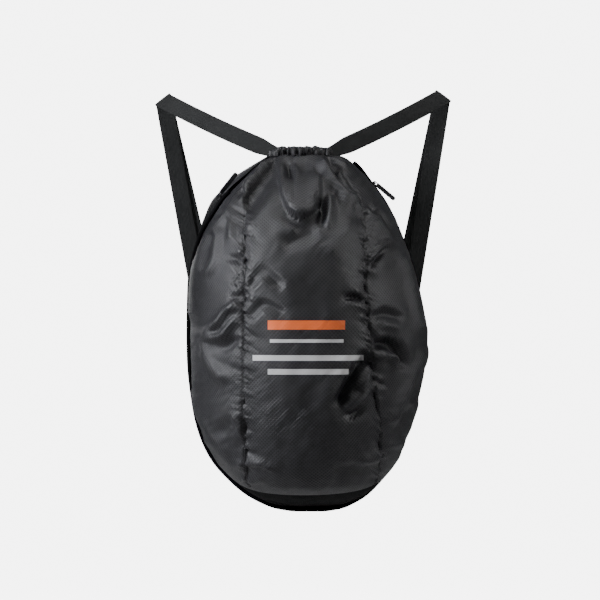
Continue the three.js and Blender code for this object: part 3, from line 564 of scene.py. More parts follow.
def gathers_lift(off, down, seed):
    """The gathers beside a seam, in millimetres: off is the distance from it and down the way along."""
    slant = down + GATHER_SLANT * off + GATHER_WANDER * noise(down / 30, 0, seed)
    total = np.zeros(off.shape)
    for k, (lift, pitch, length, reach, sharpness) in enumerate(GATHERS):
        waves = np.abs(noise(slant / pitch, off / length, seed + k + 1)) - GATHER_REST
        total += lift * waves * np.exp(-((np.abs(off) / reach) ** sharpness))
    return total


MERIDIAN_V = np.linspace(0, 1, 400)
MERIDIAN = lengths_along(skin(MIDDLE_TURN, MERIDIAN_V))


def folds_at(turn, v):
    """The lift of the folds, gathers and wrinkles over the smooth skin, in millimetres."""
    p = skin(turn, v)
    x, y = seen_from_front(p)
    lift = drape_lift(x, y).reshape(x.shape) + tongue_lift(x, y)
    down = np.interp(v, MERIDIAN_V, MERIDIAN)
    for seam, key in ((seam_left(v), "left seam"), (seam_right(v), "right seam")):
        off = np.linalg.norm(p - skin(seam, v), axis=-1) * np.sign(turn - seam)
        lift -= GROOVE * np.exp(-((off / GROOVE_WIDTH) ** 2))
        seed = SEEDS[key] + OTHER_HAND * (off > 0)
        lift += gathers_lift(off, down, seed) * ease((GATHERS_TOP - v) * GATHERS_FADE)
    fan = x + (x - FAN_MIDDLE) * FAN_SPREAD * (1 - v)
    fanned = np.abs(noise(fan / FAN_PITCH, v * 3, SEEDS["fan"])) - CREASE_REST
    lift += ease((v - FAN_FROM) * 5) * FAN_LIFT * fanned
    for k, (height, wide, tall) in enumerate(WAVES):
        lift += height * noise(x / wide, y / tall, SEEDS["waves"] + k)
    for k, (height, slant, wide, tall) in enumerate(CREASES):
        crease = noise((x + slant * y) / wide, (y - slant * x) / tall, SEEDS["creases"] + k)
        lift += height * (np.abs(crease) - CREASE_REST)
    edge = ease(np.minimum(turn - zip_left(v), 1 - turn) * EDGE_FADE)
    under_neck = ease((1 - v) * NECK_FADE + FADE_REST)
    return lift * edge * under_neck * ease((v - foot_at(turn)) * FOOT_FADE + FADE_REST)


def draped(turn, v, inside=0.0):
    return skin(turn, v) + normal_at(turn, v) * (folds_at(turn, v) - inside)[..., None]


def link(name, mesh):
    obj = bpy.data.objects.new(name, mesh)
    bpy.context.scene.collection.objects.link(obj)
    return obj


WELD = 2e-5


def add_sheet(name, rows, columns, place, cloth, material, closed=False, flip=False):
    """A grid laid out by place(u, v) in millimetres, with cloth(u, v) as its flat pattern in metres.
    On a closed one, corners nearer than the weld's distance become one."""
    bm = bmesh.new()
    bm.loops.layers.uv.new("cloth")
    bmesh.ops.create_grid(bm, x_segments=columns, y_segments=rows, size=1, calc_uvs=True)
    if flip:
        bmesh.ops.reverse_faces(bm, faces=bm.faces)
    mesh = bpy.data.meshes.new(name)
    bm.to_mesh(mesh)
    at = np.zeros(len(mesh.vertices) * 3)
    mesh.vertices.foreach_get("co", at)
    u, v = (at[0::3] + 1) / 2, (at[1::3] + 1) / 2
    mesh.vertices.foreach_set("co", (place(u, v) * MM).ravel())
    corners = np.zeros(len(mesh.loops), np.int64)
    mesh.loops.foreach_get("vertex_index", corners)
    mesh.uv_layers.active.data.foreach_set("uv", cloth(u, v)[corners].ravel())
    if closed:
        bm.clear()
        bm.from_mesh(mesh)
        bmesh.ops.remove_doubles(bm, verts=bm.verts, dist=WELD)
        bm.to_mesh(mesh)
    bm.free()
    mesh.shade_smooth()
    mesh.materials.append(material)
    return link(name, mesh)


def placed(spot, ways, size):
    """The matrix of a small solid at a spot, with its sizes along three directions, in millimetres."""
    turned = Matrix([Vector(way) for way in ways]).transposed().to_4x4()
    stretched = Matrix.Diagonal((*(side * MM for side in size), 1))
    return Matrix.Translation(Vector(spot) * MM) @ turned @ stretched


def link_solids(name, bm, material):
    mesh = bpy.data.meshes.new(name)
    bm.to_mesh(mesh)
    bm.free()
    mesh.materials.append(material)
    return link(name, mesh)


# Materials


def new_group(name, inputs, outputs):
    group = bpy.data.node_groups.new(name, "ShaderNodeTree")
    for socket, kind, value in inputs:
        made = group.interface.new_socket(socket, in_out="INPUT", socket_type=kind)
        if value is not None:
            made.default_value = value
    for socket, kind in outputs:
        group.interface.new_socket(socket, in_out="OUTPUT", socket_type=kind)
    return group, group.nodes.new("NodeGroupInput"), group.nodes.new("NodeGroupOutput")


def math_node(tree, operation, a, b=None, clamp=False):
    node = tree.nodes.new("ShaderNodeMath")
    node.operation = operation
    node.use_clamp = clamp
    for socket, value in zip(node.inputs, (a, b)):
        if value is None:
            continue
        if isinstance(value, (int, float)):
            socket.default_value = value
        else:
            tree.links.new(value, socket)
    return node.outputs[0]


def times(tree, a, b, clamp=False):
    return math_node(tree, "MULTIPLY", a, b, clamp)


def plus(tree, a, b, clamp=False):
    return math_node(tree, "ADD", a, b, clamp)


def make_ripstop_group():
    """Raised threads in two slanting directions, over a fine plain weave."""
    group, source, sink = new_group(
        "diagonal ripstop",
        [("Pattern", "NodeSocketVector", None), ("Spacing", "NodeSocketFloat", 0.0039)],
        [("Thread", "NodeSocketFloat"), ("Height", "NodeSocketFloat")],
    )
    split = group.nodes.new("ShaderNodeSeparateXYZ")
    group.links.new(source.outputs["Pattern"], split.inputs[0])
    masks = []
    for sign in (1, -1):
        along = plus(group, split.outputs["X"], times(group, split.outputs["Y"], sign))
        scaled = math_node(group, "DIVIDE", along, source.outputs["Spacing"])
        wave = math_node(group, "SINE", times(group, scaled, math.tau / math.sqrt(2)))
        lifted = times(group, plus(group, wave, 1), 0.5)
        masks.append(math_node(group, "POWER", lifted, 5))
    both = math_node(group, "MAXIMUM", *masks)
    group.links.new(both, sink.inputs["Thread"])
    fine = group.nodes.new("ShaderNodeTexNoise")
    fine.inputs["Scale"].default_value = 2600
    fine.inputs["Detail"].default_value = 1
    group.links.new(source.outputs["Pattern"], fine.inputs["Vector"])
    grain = times(group, fine.outputs["Fac"], 0.35)
    group.links.new(plus(group, both, grain), sink.inputs["Height"])
    return group


def make_wear_group():
    """Soft patches of wear, from 0 to 1."""
    group, source, sink = new_group(
        "soft wear",
        [("Place", "NodeSocketVector", None), ("Scale", "NodeSocketFloat", 14)],
        [("Wear", "NodeSocketFloat")],
    )
    cloud = group.nodes.new("ShaderNodeTexNoise")
    cloud.inputs["Detail"].default_value = 6
    cloud.inputs["Roughness"].default_value = 0.62
    group.links.new(source.outputs["Place"], cloud.inputs["Vector"])
    group.links.new(source.outputs["Scale"], cloud.inputs["Scale"])
    thinned = math_node(group, "SUBTRACT", cloud.outputs["Fac"], 0.35)
    group.links.new(times(group, thinned, 2.6, True), sink.inputs["Wear"])
    return group


RIPSTOP = make_ripstop_group()
WEAR = make_wear_group()


def add_group(tree, group, **values):
    node = tree.nodes.new("ShaderNodeGroup")
    node.node_tree = group
    for name, value in values.items():
        if isinstance(value, (int, float)):
            node.inputs[name].default_value = value
        else:
            tree.links.new(value, node.inputs[name])
    return node


def wear_of(tree, coords, scale):
    return add_group(tree, WEAR, Place=coords.outputs["Object"], Scale=scale).outputs["Wear"]


def mixed_color(tree, dark, light, mask):
    node = tree.nodes.new("ShaderNodeMix")
    node.data_type = "RGBA"
    node.inputs["A"].default_value = (*dark, 1)
    node.inputs["B"].default_value = (*light, 1)
    tree.links.new(mask, node.inputs["Factor"])
    return node.outputs["Result"]


def bumped(tree, height, distance, strength):
    node = tree.nodes.new("ShaderNodeBump")
    node.inputs["Distance"].default_value = distance
    node.inputs["Strength"].default_value = strength
    tree.links.new(height, node.inputs["Height"])
    return node.outputs["Normal"]


def start_material(name, roughness, specular, metallic=0.0, sheen=0.0):
    material = bpy.data.materials.new(name)
    material.use_nodes = True
    tree = material.node_tree
    shader = tree.nodes["Principled BSDF"]
    shader.inputs["Roughness"].default_value = roughness
    shader.inputs["Metallic"].default_value = metallic
    shader.inputs["Specular IOR Level"].default_value = specular
    shader.inputs["Sheen Weight"].default_value = sheen
    shader.inputs["Sheen Roughness"].default_value = 0.45
    coords = tree.nodes.new("ShaderNodeTexCoord")
    return material, tree, shader, coords


# Plain bars on the front: left, right, top and foot in millimetres seen from the front, and colour
ORANGE = (0.75, 0.13, 0.02)
PALE = (0.5, 0.5, 0.5)
BARS = [
    (-49, 58, -318, -331, ORANGE),
    (-46, 56, -344, -349, PALE),
    (-70, 84, -366, -374, PALE),
    (-49, 63, -385, -393, PALE),
]
BAR_SHARPNESS = 3000


def between(tree, value, low, high):
    """A mask that is 1 where a value in metres lies between two places in millimetres."""
    off = math_node(tree, "SUBTRACT", value, (low + high) / 2 * MM)
    past = math_node(tree, "SUBTRACT", math_node(tree, "ABSOLUTE", off), (high - low) / 2 * MM)
    return times(tree, past, -BAR_SHARPNESS, True)


def with_bars(tree, coords, color):
    split = tree.nodes.new("ShaderNodeSeparateXYZ")
    tree.links.new(coords.outputs["Object"], split.inputs[0])
    for left, right, top, foot, tone in BARS:
        across = between(tree, split.outputs["X"], left, right)
        up = between(tree, split.outputs["Z"], foot, top)
        node = tree.nodes.new("ShaderNodeMix")
        node.data_type = "RGBA"
        tree.links.new(math_node(tree, "MINIMUM", across, up), node.inputs["Factor"])
        tree.links.new(color, node.inputs["A"])
        node.inputs["B"].default_value = (*tone, 1)
        color = node.outputs["Result"]
    return color


WEAVE_DEPTH = 0.0006
WEAVE_STRENGTH = 0.68


def ripstop_material(name, tones, roughness, specular, sheen=0.0, bars=False):
    material, tree, shader, coords = start_material(name, roughness, specular, sheen=sheen)
    weave = add_group(tree, RIPSTOP, Pattern=coords.outputs["UV"])
    wear = wear_of(tree, coords, 9)
    threads = times(tree, weave.outputs["Thread"], 0.65)
    color = mixed_color(tree, *tones, plus(tree, threads, times(tree, wear, 0.35), True))
    if bars:
        color = with_bars(tree, coords, color)
    tree.links.new(color, shader.inputs["Base Color"])
    rough = plus(tree, times(tree, wear, 0.1), roughness - 0.05)
    tree.links.new(rough, shader.inputs["Roughness"])
    normal = bumped(tree, weave.outputs["Height"], WEAVE_DEPTH, WEAVE_STRENGTH)
    tree.links.new(normal, shader.inputs["Normal"])
    return material


RIB_PITCH = 0.0022
PICK_PITCH = 0.0013
RIB_SLANT = 0.0006


def webbing_material(name, tones):
    """Narrow ribs along the webbing with a slanting weave across them. The pattern's X runs across."""
    material, tree, shader, coords = start_material(name, 0.8, 0.15)
    split = tree.nodes.new("ShaderNodeSeparateXYZ")
    tree.links.new(coords.outputs["UV"], split.inputs[0])
    ribs = math_node(tree, "SINE", times(tree, split.outputs["X"], math.tau / RIB_PITCH))
    fold = math_node(tree, "ABSOLUTE", ribs)
    slant = plus(tree, times(tree, fold, RIB_SLANT), split.outputs["Y"])
    picks = math_node(tree, "SINE", times(tree, slant, math.tau / PICK_PITCH))
    height = plus(tree, times(tree, fold, 0.7), times(tree, picks, 0.3))
    mask = times(tree, plus(tree, height, 0.3), 0.77, True)
    worn = times(tree, wear_of(tree, coords, 20), 0.3)
    mask = plus(tree, times(tree, mask, 0.7), worn)
    tree.links.new(mixed_color(tree, *tones, mask), shader.inputs["Base Color"])
    tree.links.new(bumped(tree, height, 0.0003, 0.9), shader.inputs["Normal"])
    return material


def plain_material(name, tones, roughness, specular=0.1, metallic=0.0, grain=900):
    material, tree, shader, coords = start_material(name, roughness, specular, metallic)
    wear = wear_of(tree, coords, 40)
    tree.links.new(mixed_color(tree, *tones, wear), shader.inputs["Base Color"])
    rough = plus(tree, times(tree, wear, 0.15), roughness - 0.07)
    tree.links.new(rough, shader.inputs["Roughness"])
    fine = tree.nodes.new("ShaderNodeTexNoise")
    fine.inputs["Scale"].default_value = grain
    tree.links.new(coords.outputs["Object"], fine.inputs["Vector"])
    tree.links.new(bumped(tree, fine.outputs["Fac"], 0.0001, 0.7), shader.inputs["Normal"])
    return material


# The dark and the light tone of each material
CLOTH_TONES = ((0.001, 0.001, 0.0014), (0.014, 0.014, 0.0175))
BASE_TONES = ((0.0003, 0.0003, 0.0004), (0.0015, 0.0015, 0.0017))
BACK_TONES = ((0.001, 0.001, 0.001), (0.006, 0.006, 0.007))
EDGE_TONES = ((0.0008, 0.0008, 0.001), (0.002, 0.002, 0.0025))
LINING_TONES = ((0.006, 0.006, 0.007), (0.012, 0.012, 0.013))
WEBBING_TONES = ((0.004, 0.0042, 0.0042), (0.022, 0.023, 0.023))
COIL_TONES = ((0.006, 0.006, 0.006), (0.012, 0.012, 0.012))
METAL_TONES = ((0.06, 0.06, 0.062), (0.2, 0.2, 0.205))
RUBBER_TONES = ((0.02, 0.02, 0.022), (0.04, 0.04, 0.043))
THREAD_TONES = ((0.002, 0.002, 0.002), (0.006, 0.006, 0.006))

CLOTH = ripstop_material("grey ripstop", CLOTH_TONES, 0.47, 0.4, sheen=0.01)
FRONT_CLOTH = ripstop_material("grey ripstop with bars", CLOTH_TONES, 0.47, 0.4, sheen=0.01, bars=True)
BASE_CLOTH = ripstop_material("black base cloth", BASE_TONES, 0.6, 0.02)
LINING = plain_material("black lining", LINING_TONES, 0.8)
BACK_CLOTH = ripstop_material("black back cloth", BACK_TONES, 0.6, 0.12)
WEBBING = webbing_material("black webbing", WEBBING_TONES)
ZIP_TAPE = plain_material("black zip tape", EDGE_TONES, 0.85, 0.03)
ZIP_COIL = plain_material("black zip coil", COIL_TONES, 0.4, 0.35)
PIPING = plain_material("black piping", EDGE_TONES, 0.7, 0.04)
SLIDER_METAL = plain_material("dark zip metal", METAL_TONES, 0.38, 0.5, metallic=0.9, grain=2500)
PULL_RUBBER = plain_material("grey pull rubber", RUBBER_TONES, 0.6, 0.3)
THREAD = plain_material("grey thread", THREAD_TONES, 0.6)

# Pouch


def flat_pattern(turn, v):
    """The flat place of the skin's points in metres: across from the middle of the front, and up."""
    steps = 14
    across = np.zeros(turn.shape)
    before = skin(MIDDLE_TURN, v)
    for k in range(1, steps + 1):
        after = skin(mix(MIDDLE_TURN, turn, k / steps), v)
        across += np.linalg.norm(after - before, axis=-1)
        before = after
    across *= np.sign(turn - MIDDLE_TURN)
    return np.stack([across, np.interp(v, MERIDIAN_V, MERIDIAN)], -1) * MM


def up_to_neck(foot, v):
    """Heights from the foot to the neck that lie closer together near the neck."""
    return mix(foot, 1, 1 - (1 - v) ** 1.25)


def add_panel(name, left, right, rows, columns, material, inside=0.0, flip=False):
    """A panel of the pouch between two edges given as turns at a height."""

    def spot(u, v):
        foot = np.full(u.shape, FOOT_MIDDLE)
        for _ in range(8):
            foot = foot_at(mix(left(foot), right(foot), u))
        height = up_to_neck(foot, v)
        return mix(left(height), right(height), u), height

    def place(u, v):
        return draped(*spot(u, v), inside)

    def cloth(u, v):
        return flat_pattern(*spot(u, v))

    return add_sheet(name, rows, columns, place, cloth, material, flip=flip)


def right_rim(v):
    return np.ones_like(v)


front = add_panel("front_cloth", seam_left, seam_right, 360, 220, FRONT_CLOTH)
side_left = add_panel("side_cloth_left", zip_left, seam_left, 330, 120, CLOTH)
side_right = add_panel("side_cloth_right", seam_right, right_rim, 330, 130, CLOTH)
lining = add_panel("lining", zip_left, right_rim, 130, 130, LINING, LINING_INSIDE, flip=True)
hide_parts("front_panel")
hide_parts("side_panel_left")
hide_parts("side_panel_right")


def add_stitches(name, seam):
    """Two rows of thread beside a gathered seam, each stitch a small bead lying along it."""
    v = np.linspace(FOOT_MIDDLE + 0.02, 0.985, 1200)
    passed = lengths_along(skin(seam(v), v))
    at = np.interp(np.arange(2, passed[-1] - 2, STITCH_PITCH), passed, v)
    step = 0.01
    widths = np.linalg.norm(skin(seam(at) + step, at) - skin(seam(at), at), axis=-1)
    bm = bmesh.new()
    for side in (-1, 1):
        turn = seam(at) + side * STITCH_OFF / widths * step
        places, facing = draped(turn, at), normal_at(turn, at)
        for spot, x, z in zip(places, unit(np.gradient(places, axis=0)), facing):
            y = np.cross(z, x)
            matrix = placed(spot + z * 0.2, (x, y, np.cross(x, y)), STITCH_SIZE)
            bmesh.ops.create_uvsphere(bm, u_segments=6, v_segments=4, radius=0.5, matrix=matrix)
    for face in bm.faces:
        face.smooth = True
    link_solids(name, bm, THREAD)


add_stitches("seam_stitches_left", seam_left)
add_stitches("seam_stitches_right", seam_right)


def add_base():
    def height(u, v):
        return mix(FOOT_LOWEST, foot_at(u), v**1.5)

    def place(u, v):
        at = height(u, v)
        sag = BASE_SAG * noise(u * 14, v * 3, SEEDS["base"]) * ease(v * 4) * ease((1 - v) * 4)
        return skin(u, at) + normal_at(u, at) * sag[..., None]

    def cloth(u, v):
        return flat_pattern(u, height(u, v))

    return add_sheet("base_cloth", 60, 220, place, cloth, BASE_CLOTH)


base = add_base()
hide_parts("base_panel")


def slant_at(v):
    """How much wider the zip's band is level than square to the zip, where the left zip runs aslant."""
    low, high = v - 0.01, np.minimum(v + 0.01, 1)
    step = unit(skin(zip_left(high), high) - skin(zip_left(low), low))
    level = unit(skin(zip_left(v) + 0.02, v) - skin(zip_left(v), v))
    return 1 / np.sqrt(1 - np.sum(step * level, -1) ** 2)


def back_path(v, share):
    """Points of the back panel's inner face. It starts at the left zip, goes round the left back
    corner within the wrap's share of the width, and on to the right back corner."""
    v, share = np.broadcast_arrays(v, share)
    start = zip_left(v)
    _, _, back, _, _ = section(v)
    samples = [skin(mix(start, 0, k / 24), v) for k in range(25)]
    for turn in (0, 1):
        corner = skin(turn, v)
        corner[..., 1] = back
        samples.append(corner)
    steps = [np.linalg.norm(b - a, axis=-1) for a, b in zip(samples, samples[1:])]
    wrapped = np.sum(steps[:-1], axis=0)
    skip = np.where(start > 0, closing_band(v, ZIP_TOP_LEFT) * slant_at(v), BAND_WIDTH)
    wrap_end = np.maximum(wrapped, skip + 2)
    in_wrap = mix(skip, wrap_end, share / WRAP_SHARE)
    in_flat = mix(wrap_end, wrapped + steps[-1], (share - WRAP_SHARE) / (1 - WRAP_SHARE))
    at = np.where(share < WRAP_SHARE, in_wrap, in_flat)
    p = samples[0].copy()
    passed = np.zeros(v.shape)
    for a, b, step in zip(samples, samples[1:], steps):
        t = np.clip((at - passed) / np.maximum(step, 1e-6), 0, 1)
        p += (b - a) * t[..., None]
        passed = passed + step
    t = np.clip((at - wrapped) / steps[-1], 0, 1)
    p[..., 1] += NECK_CROWN * lean_at(v) * 4 * t * (1 - t)
    return p


def add_back():
    def place(u, v):
        share = 1 - u
        at = up_to_neck(FOOT_LOWEST, v)
        step = 4e-3
        higher, lower = np.minimum(share + step, 1), np.maximum(share - step, 0)
        across = back_path(at, higher) - back_path(at, lower)
        up = back_path(np.minimum(at + step, 1), share) - back_path(np.maximum(at - step, 0), share)
        n = unit(np.cross(up, across))
        n[..., 2] *= 1 - lean_at(at)
        soft = BACK_WAVE * noise(u * 7, v * 11, SEEDS["back"]) * ease(np.minimum(u, 1 - u) * 12)
        return back_path(at, share) + unit(n) * (BACK_THICKNESS + soft)[..., None]

    def cloth(u, v):
        p = place(u, v)
        return np.stack([-p[:, 0], p[:, 2]], -1) * MM

    return add_sheet("back_cloth", 150, 110, place, cloth, BACK_CLOTH)


back = add_back()
back.data.materials.append(CLOTH)
for face in back.data.polygons:
    face.material_index = int(face.center.z > height_at(ZIP_TOP_LEFT) * MM)
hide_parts("back_panel")

# Gathered neck


def neck_loop():
    """The rim of the pouch as a closed loop of evenly spaced points, and its length."""
    steps = np.linspace(0, 1, 200, endpoint=False)
    top = np.ones(steps.shape)
    dense = np.concatenate([skin(steps, top), back_path(top, 1 - steps * 0.999)])
    dense = np.concatenate([dense, dense[:1]])
    passed = lengths_along(dense)
    loop = points_at(np.linspace(0, passed[-1], NECK_COUNT, endpoint=False), passed, dense)
    for _ in range(NECK_COUNT // 30):
        loop = 0.5 * loop + 0.25 * (np.roll(loop, 1, 0) + np.roll(loop, -1, 0))
    return loop, passed[-1]


LOOP, LOOP_LENGTH = neck_loop()
LOOP_ALONG = unit(np.roll(LOOP, -3, 0) - np.roll(LOOP, 3, 0))
LOOP_OUT = np.stack([LOOP_ALONG[:, 1], -LOOP_ALONG[:, 0], np.zeros(NECK_COUNT)], -1)


def place_casing(u, v):
    """v runs up the outside, over the top and down the inside."""
    i = (u * NECK_COUNT).round().astype(int) % NECK_COUNT
    p, out = LOOP[i], LOOP_OUT[i]
    s = (i / NECK_COUNT) * LOOP_LENGTH
    turned = s + 2 * noise(s / 14, 0, SEEDS["pleat drift"])
    turned += 5 * noise(s / 11, 0, SEEDS["pleat slant"]) * (v - 0.25)
    pleats = np.abs(noise(turned / PLEAT_PITCH, v * 1.1, SEEDS["pleats"])) ** 0.8 * 2.1 - 0.7
    pleats += 0.6 * np.abs(noise(turned / 8, v * 0.8, SEEDS["broad pleats"]))
    outside = ease((0.55 - v) * 4)
    top = ease((v - 0.35) * 6) * ease((0.7 - v) * 6)
    rise = np.clip(np.where(v < 0.5, v / 0.46, (1 - v) / 0.46), 0, 1)
    end_drop = 0.3 * (np.abs(p[:, 0]) / NECK_HALF) ** 4
    z = NECK_Z + CASING_FOOT + CASING_HEIGHT * rise * (1 - end_drop)
    z += top * (PLEAT_RISE * pleats + RIM_WAVE * noise(s / 9, 0, SEEDS["rim"]))
    belly = CASING_BELLY * np.sin(rise * np.pi) ** 0.7
    reach = mix(-CASING_WALL, 0.6, ease((0.56 - v) * 9)) + outside * (belly + PLEAT_DEPTH * pleats)
    shape = p + out * reach[:, None]
    shape[:, 2] = z
    return shape


def cloth_casing(u, v):
    return np.stack([u * LOOP_LENGTH * 2.2, v * 60], -1) * MM


casing = add_sheet("neck_ruffle", 44, NECK_COUNT, place_casing, cloth_casing, CLOTH, closed=True)
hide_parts("neck_casing")

# Zip and piping round the edge


def edge_frames(top_left, top_right):
    """Stations down the left edge, across the foot and up the right: their places, the directions
    outward, backward and along the edge, and how far along it each is."""
    half = EDGE_COUNT // 2
    share = (1 - np.cos(np.linspace(0, 1, half) * np.pi)) / 2
    v = np.concatenate([top_left * share[::-1], top_right * share])
    on_right = np.arange(2 * half) >= half
    p = skin(np.where(on_right, 1, zip_left(v)), v)
    probe = skin(zip_left(v) + 0.02, v) - p
    straight = on_right | (zip_left(v) == 0)
    forward = np.where(straight[:, None], np.array([0.0, -1.0, 0.0]), probe)
    passed = lengths_along(p)
    wanted = np.linspace(0, passed[-1], EDGE_COUNT)
    p, forward = points_at(wanted, passed, p), points_at(wanted, passed, forward)
    for _ in range(6):
        p[1:-1] = 0.5 * p[1:-1] + 0.25 * (p[:-2] + p[2:])
    along = unit(np.gradient(p, axis=0))
    out = unit(np.cross(along, forward))
    return p, out, np.cross(along, out), along, wanted


def add_tube(name, frames, outline, material):
    """A tube along the edge. outline(angle share) gives its section as (out, back) in millimetres."""
    p, out, back_way, _, passed = frames
    last = len(p) - 1

    def place(u, v):
        i = (v * last).round().astype(int)
        o, b = outline(u)
        return p[i] + out[i] * o[:, None] + back_way[i] * b[:, None]

    def cloth(u, v):
        return np.stack([u * 0.02, v * passed[-1] * MM], -1)

    return add_sheet(name, last, 12, place, cloth, material, closed=True)


def round_outline(out, back_at, radius):
    def outline(u):
        return out + radius * np.cos(u * math.tau), back_at + radius * np.sin(u * math.tau)

    return outline


def flat_outline(out, back_way):
    """A rectangle between the two ends of its reach outward and of its reach backward."""
    middle = (sum(out) / 2, sum(back_way) / 2)
    half = ((out[1] - out[0]) / 2, (back_way[1] - back_way[0]) / 2)

    def outline(u):
        c, s = np.cos(u * math.tau), np.sin(u * math.tau)
        bend = np.maximum(np.abs(c), np.abs(s))
        return middle[0] + half[0] * c / bend, middle[1] + half[1] * s / bend

    return outline


ZIP_FRAMES = edge_frames(ZIP_TOP_LEFT, ZIP_TOP_RIGHT)
tape = add_tube("zip_tape_cloth", ZIP_FRAMES, flat_outline(TAPE_OUT, TAPE_BACK), ZIP_TAPE)
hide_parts("zip_tape")
PIPING_FRAMES = edge_frames(PIPING_TOP_LEFT, PIPING_TOP_RIGHT)
cord_outline = round_outline(PIPING_OUT, PIPING_BACK, PIPING_RADIUS)
piping = add_tube("piping_cord", PIPING_FRAMES, cord_outline, PIPING)
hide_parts("edge_piping")


def add_teeth():
    """The zip's teeth: one small block per pitch along the edge, by turns on either hand of the
    middle of the tape."""
    *frames, passed = ZIP_FRAMES
    bm = bmesh.new()
    for k, at in enumerate(np.arange(TEETH_FROM_END, passed[-1] - TEETH_FROM_END, TOOTH_PITCH)):
        i = int(np.searchsorted(passed, at))
        t = (at - passed[i - 1]) / (passed[i] - passed[i - 1])
        p, out, back_way, along = [mix(values[i - 1], values[i], t) for values in frames]
        x, y, z = unit(along), unit(back_way), unit(out)
        spot = p + z * TOOTH_OUT + y * (TOOTH_BACK + TOOTH_SHIFT * (-1) ** k)
        bmesh.ops.create_cube(bm, size=1, matrix=placed(spot, (x, y, z), TOOTH_SIZE))
    return link_solids("zip_teeth", bm, ZIP_COIL)


teeth = add_teeth()
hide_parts("zip_coil")

for name, held_material in (("slider", SLIDER_METAL), ("pull", PULL_RUBBER)):
    for side_name in ("left", "right"):
        for held in bpy.data.objects[f"{name}_{side_name}"].material_slots:
            held.material = held_material

# Webbing straps. Their columns are the name, the side, how far the fold is over the origin in
# millimetres, and where the foot is, in shares of half the width and of the height.
STRAPS = [("left", -1, -1, 0.63, 0.19), ("right", 1, 4, 0.69, 0.19)]


def seen_unit(a):
    """The direction of a as seen from the front."""
    return unit(a * np.array([1, 0, 1]))


def strap_rows(side, lift, foot_across, foot_up, layer):
    """Centres, half-width vectors and facings along one webbing, in millimetres."""
    reach = (0.5 + layer) * STRAP_PITCH
    neck_y = BACK_Y - NECK_SETBACK - NECK_DEPTH / 2
    neck = np.array([side * (NECK_HALF - 6), neck_y, NECK_Z + 2.5])
    rise_from = np.array([side * (NECK_HALF + 4.5), neck_y, NECK_Z + 6.9])
    hang = np.array([side * HANG_HALF, 0, lift])

    def foot_of(n):
        across = foot_across * HALF_WIDTH - n * STRAP_SPREAD * STRAP_WIDTH
        return np.array([side * across, BACK_Y + BACK_THICKNESS + STRAP_OFF_BACK, height_at(foot_up)])

    def half_width(way):
        return np.array([way[2] * side, 0, -way[0] * side]) * STRAP_WIDTH / 2

    foot = foot_of(layer)
    rising, falling = seen_unit(hang - rise_from), seen_unit(foot - hang)
    crease = seen_unit(rising + seen_unit(foot_of(0.5) - hang))
    outward = np.array([-crease[2], 0, crease[0]])
    outward *= np.sign(outward[2])
    crease_half = crease * (STRAP_WIDTH / 2 / math.sqrt(1 - float(crease @ rising) ** 2))
    facing = np.array([0, -1.0, 0])
    rows = []
    for t in np.linspace(0, 0.93, 60):
        centre = mix(neck, hang, t)
        centre[1] = mix(neck[1], 0, t) - reach - layer * (1 - t)
        centre[2] -= STRAP_SAG * math.sin(t * math.pi)
        turned = ease((t - 0.84) / 0.09)
        half = mix(half_width(rising) * mix(0.7, 1, ease(t * 6)), crease_half, turned * 0.55)
        rows.append((centre, half, facing))
    for turn in np.linspace(0, math.pi, 13):
        centre = hang + outward * reach * math.sin(turn)
        centre[1] = -reach * math.cos(turn)
        rows.append((centre, crease_half, outward * math.sin(turn) + facing * math.cos(turn)))
    for t in np.linspace(0.035, 1, 90):
        centre = mix(hang, foot, t)
        centre[1] = mix(reach, foot[1] + layer * STRAP_PITCH, t)
        turned = 1 - ease((t - 0.035) / 0.03)
        rows.append((centre, mix(-half_width(falling), crease_half, turned * 0.5), -facing))
    centres, halves, normals = (np.array(values) for values in zip(*rows))
    return centres, halves, unit(normals)


def add_strap(name, side, lift, foot_across, foot_up, layer):
    centres, halves, normals = strap_rows(side, lift, foot_across, foot_up, layer)
    last = len(centres) - 1
    passed = lengths_along(centres)

    def place(u, v):
        i = (v * last).round().astype(int)
        c, s = np.cos(u * math.tau), np.sin(u * math.tau)
        across = np.sign(c) * np.abs(c) ** 0.6
        thick = np.sign(s) * np.abs(s) ** 0.4 * STRAP_THICKNESS / 2
        bow = STRAP_BOW * (1 - across**2)
        return centres[i] + halves[i] * across[:, None] + normals[i] * (thick + bow)[:, None]

    def cloth(u, v):
        i = (v * last).round().astype(int)
        across = np.cos(u * math.tau) * STRAP_WIDTH / 2
        return np.stack([across, passed[i]], -1) * MM

    return add_sheet(name, last, 24, place, cloth, WEBBING, closed=True, flip=side > 0)


for name, side, *rest in STRAPS:
    for layer, which in enumerate(("inner", "outer")):
        strap = add_strap(f"webbing_{name}_{which}", side, *rest, layer)
        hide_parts(f"strap_{name}_{which}")
    for held in bpy.data.objects[f"strap_tab_{name}"].material_slots:
        held.material = BACK_CLOTH

for piece in [o for o in bpy.context.scene.objects if o.type == "MESH" and "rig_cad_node" not in o]:
    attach(piece, "bag")

# Room, light and camera. Sizes are in metres, and powers in watts.
FLOOR_Z = -0.95
ROOM_FLAT = 5.5
ROOM_BEND = 1.6
ROOM_WALL = 4
WALL_GLOW = 6
LIGHT_TARGET = (0, -0.12, -0.3)
WORLD_STRENGTH = 0.06


def wall_material():
    """Pale plaster that shows white to the camera, as a lit studio background does."""
    material, tree, shader, coords = start_material("pale wall", 0.95, 0.5)
    wear = wear_of(tree, coords, 1.5)
    pale = mixed_color(tree, (0.3, 0.3, 0.3), (0.34, 0.34, 0.34), wear)
    tree.links.new(pale, shader.inputs["Base Color"])
    seen = tree.nodes.new("ShaderNodeLightPath").outputs["Is Camera Ray"]
    glow = mixed_color(tree, (0, 0, 0), (1, 1, 1), seen)
    tree.links.new(glow, shader.inputs["Emission Color"])
    shader.inputs["Emission Strength"].default_value = WALL_GLOW
    return material


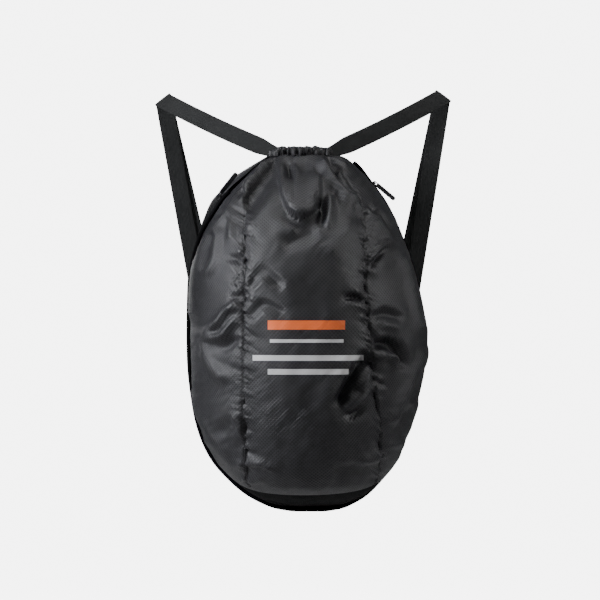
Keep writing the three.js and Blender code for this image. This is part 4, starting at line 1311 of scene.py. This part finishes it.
def add_room():
    """A round pale floor that turns up into a wall on every side, well outside the lights."""
    bend = ROOM_BEND * math.pi / 2

    def place(u, v):
        run = v * (ROOM_FLAT + bend + ROOM_WALL)
        turn = np.clip((run - ROOM_FLAT) / ROOM_BEND, 0, math.pi / 2)
        reach = np.minimum(run, ROOM_FLAT) + ROOM_BEND * np.sin(turn)
        wall = np.maximum(run - ROOM_FLAT - bend, 0)
        z = FLOOR_Z + ROOM_BEND * (1 - np.cos(turn)) + wall
        around = u * math.tau
        return np.stack([reach * np.cos(around), reach * np.sin(around), z], -1) / MM

    def cloth(u, v):
        return np.stack([u, v], -1)

    room = add_sheet("room", 40, 72, place, cloth, wall_material(), closed=True)


add_room()


def add_light(name, spot, size, power, color=(1, 1, 1)):
    data = bpy.data.lights.new(name, "AREA")
    data.shape = "RECTANGLE"
    data.size, data.size_y = size
    data.energy = power
    data.color = color
    light = bpy.data.objects.new(name, data)
    light.location = spot
    light.rotation_euler = (Vector(LIGHT_TARGET) - Vector(spot)).to_track_quat("-Z", "Y").to_euler()
    bpy.context.scene.collection.objects.link(light)


add_light("left softbox", (-1.9, -0.75, 0.45), (0.35, 0.9), 106, (0.95, 0.96, 1))
add_light("front softbox", (-0.5, -2.2, 1.6), (0.6, 0.4), 5)
add_light("right strip", (1.7, -0.45, 0.3), (0.25, 1.1), 24)
add_light("top light", (0.1, -0.4, 1.2), (0.6, 0.3), 16)
add_light("back light", (-0.5, 2.8, 0.1), (1.4, 1), 14)

world = bpy.data.worlds.new("pale room")
bpy.context.scene.world = world
world.use_nodes = True
background = world.node_tree.nodes["Background"]
background.inputs["Color"].default_value = (1, 1, 1, 1)
background.inputs["Strength"].default_value = WORLD_STRENGTH

camera_data = bpy.data.cameras.new("camera")
camera_data.sensor_width = SENSOR
camera_data.lens = SENSOR * VIEW_DISTANCE / MM_PER_PIXEL / PICTURE
camera_data.clip_end = 50
camera = bpy.data.objects.new("camera", camera_data)
camera.location = (VIEW_X * MM, -VIEW_DISTANCE * MM, VIEW_Z * MM)
camera.rotation_euler = (math.pi / 2, 0, 0)
bpy.context.scene.collection.objects.link(camera)
bpy.context.scene.camera = camera
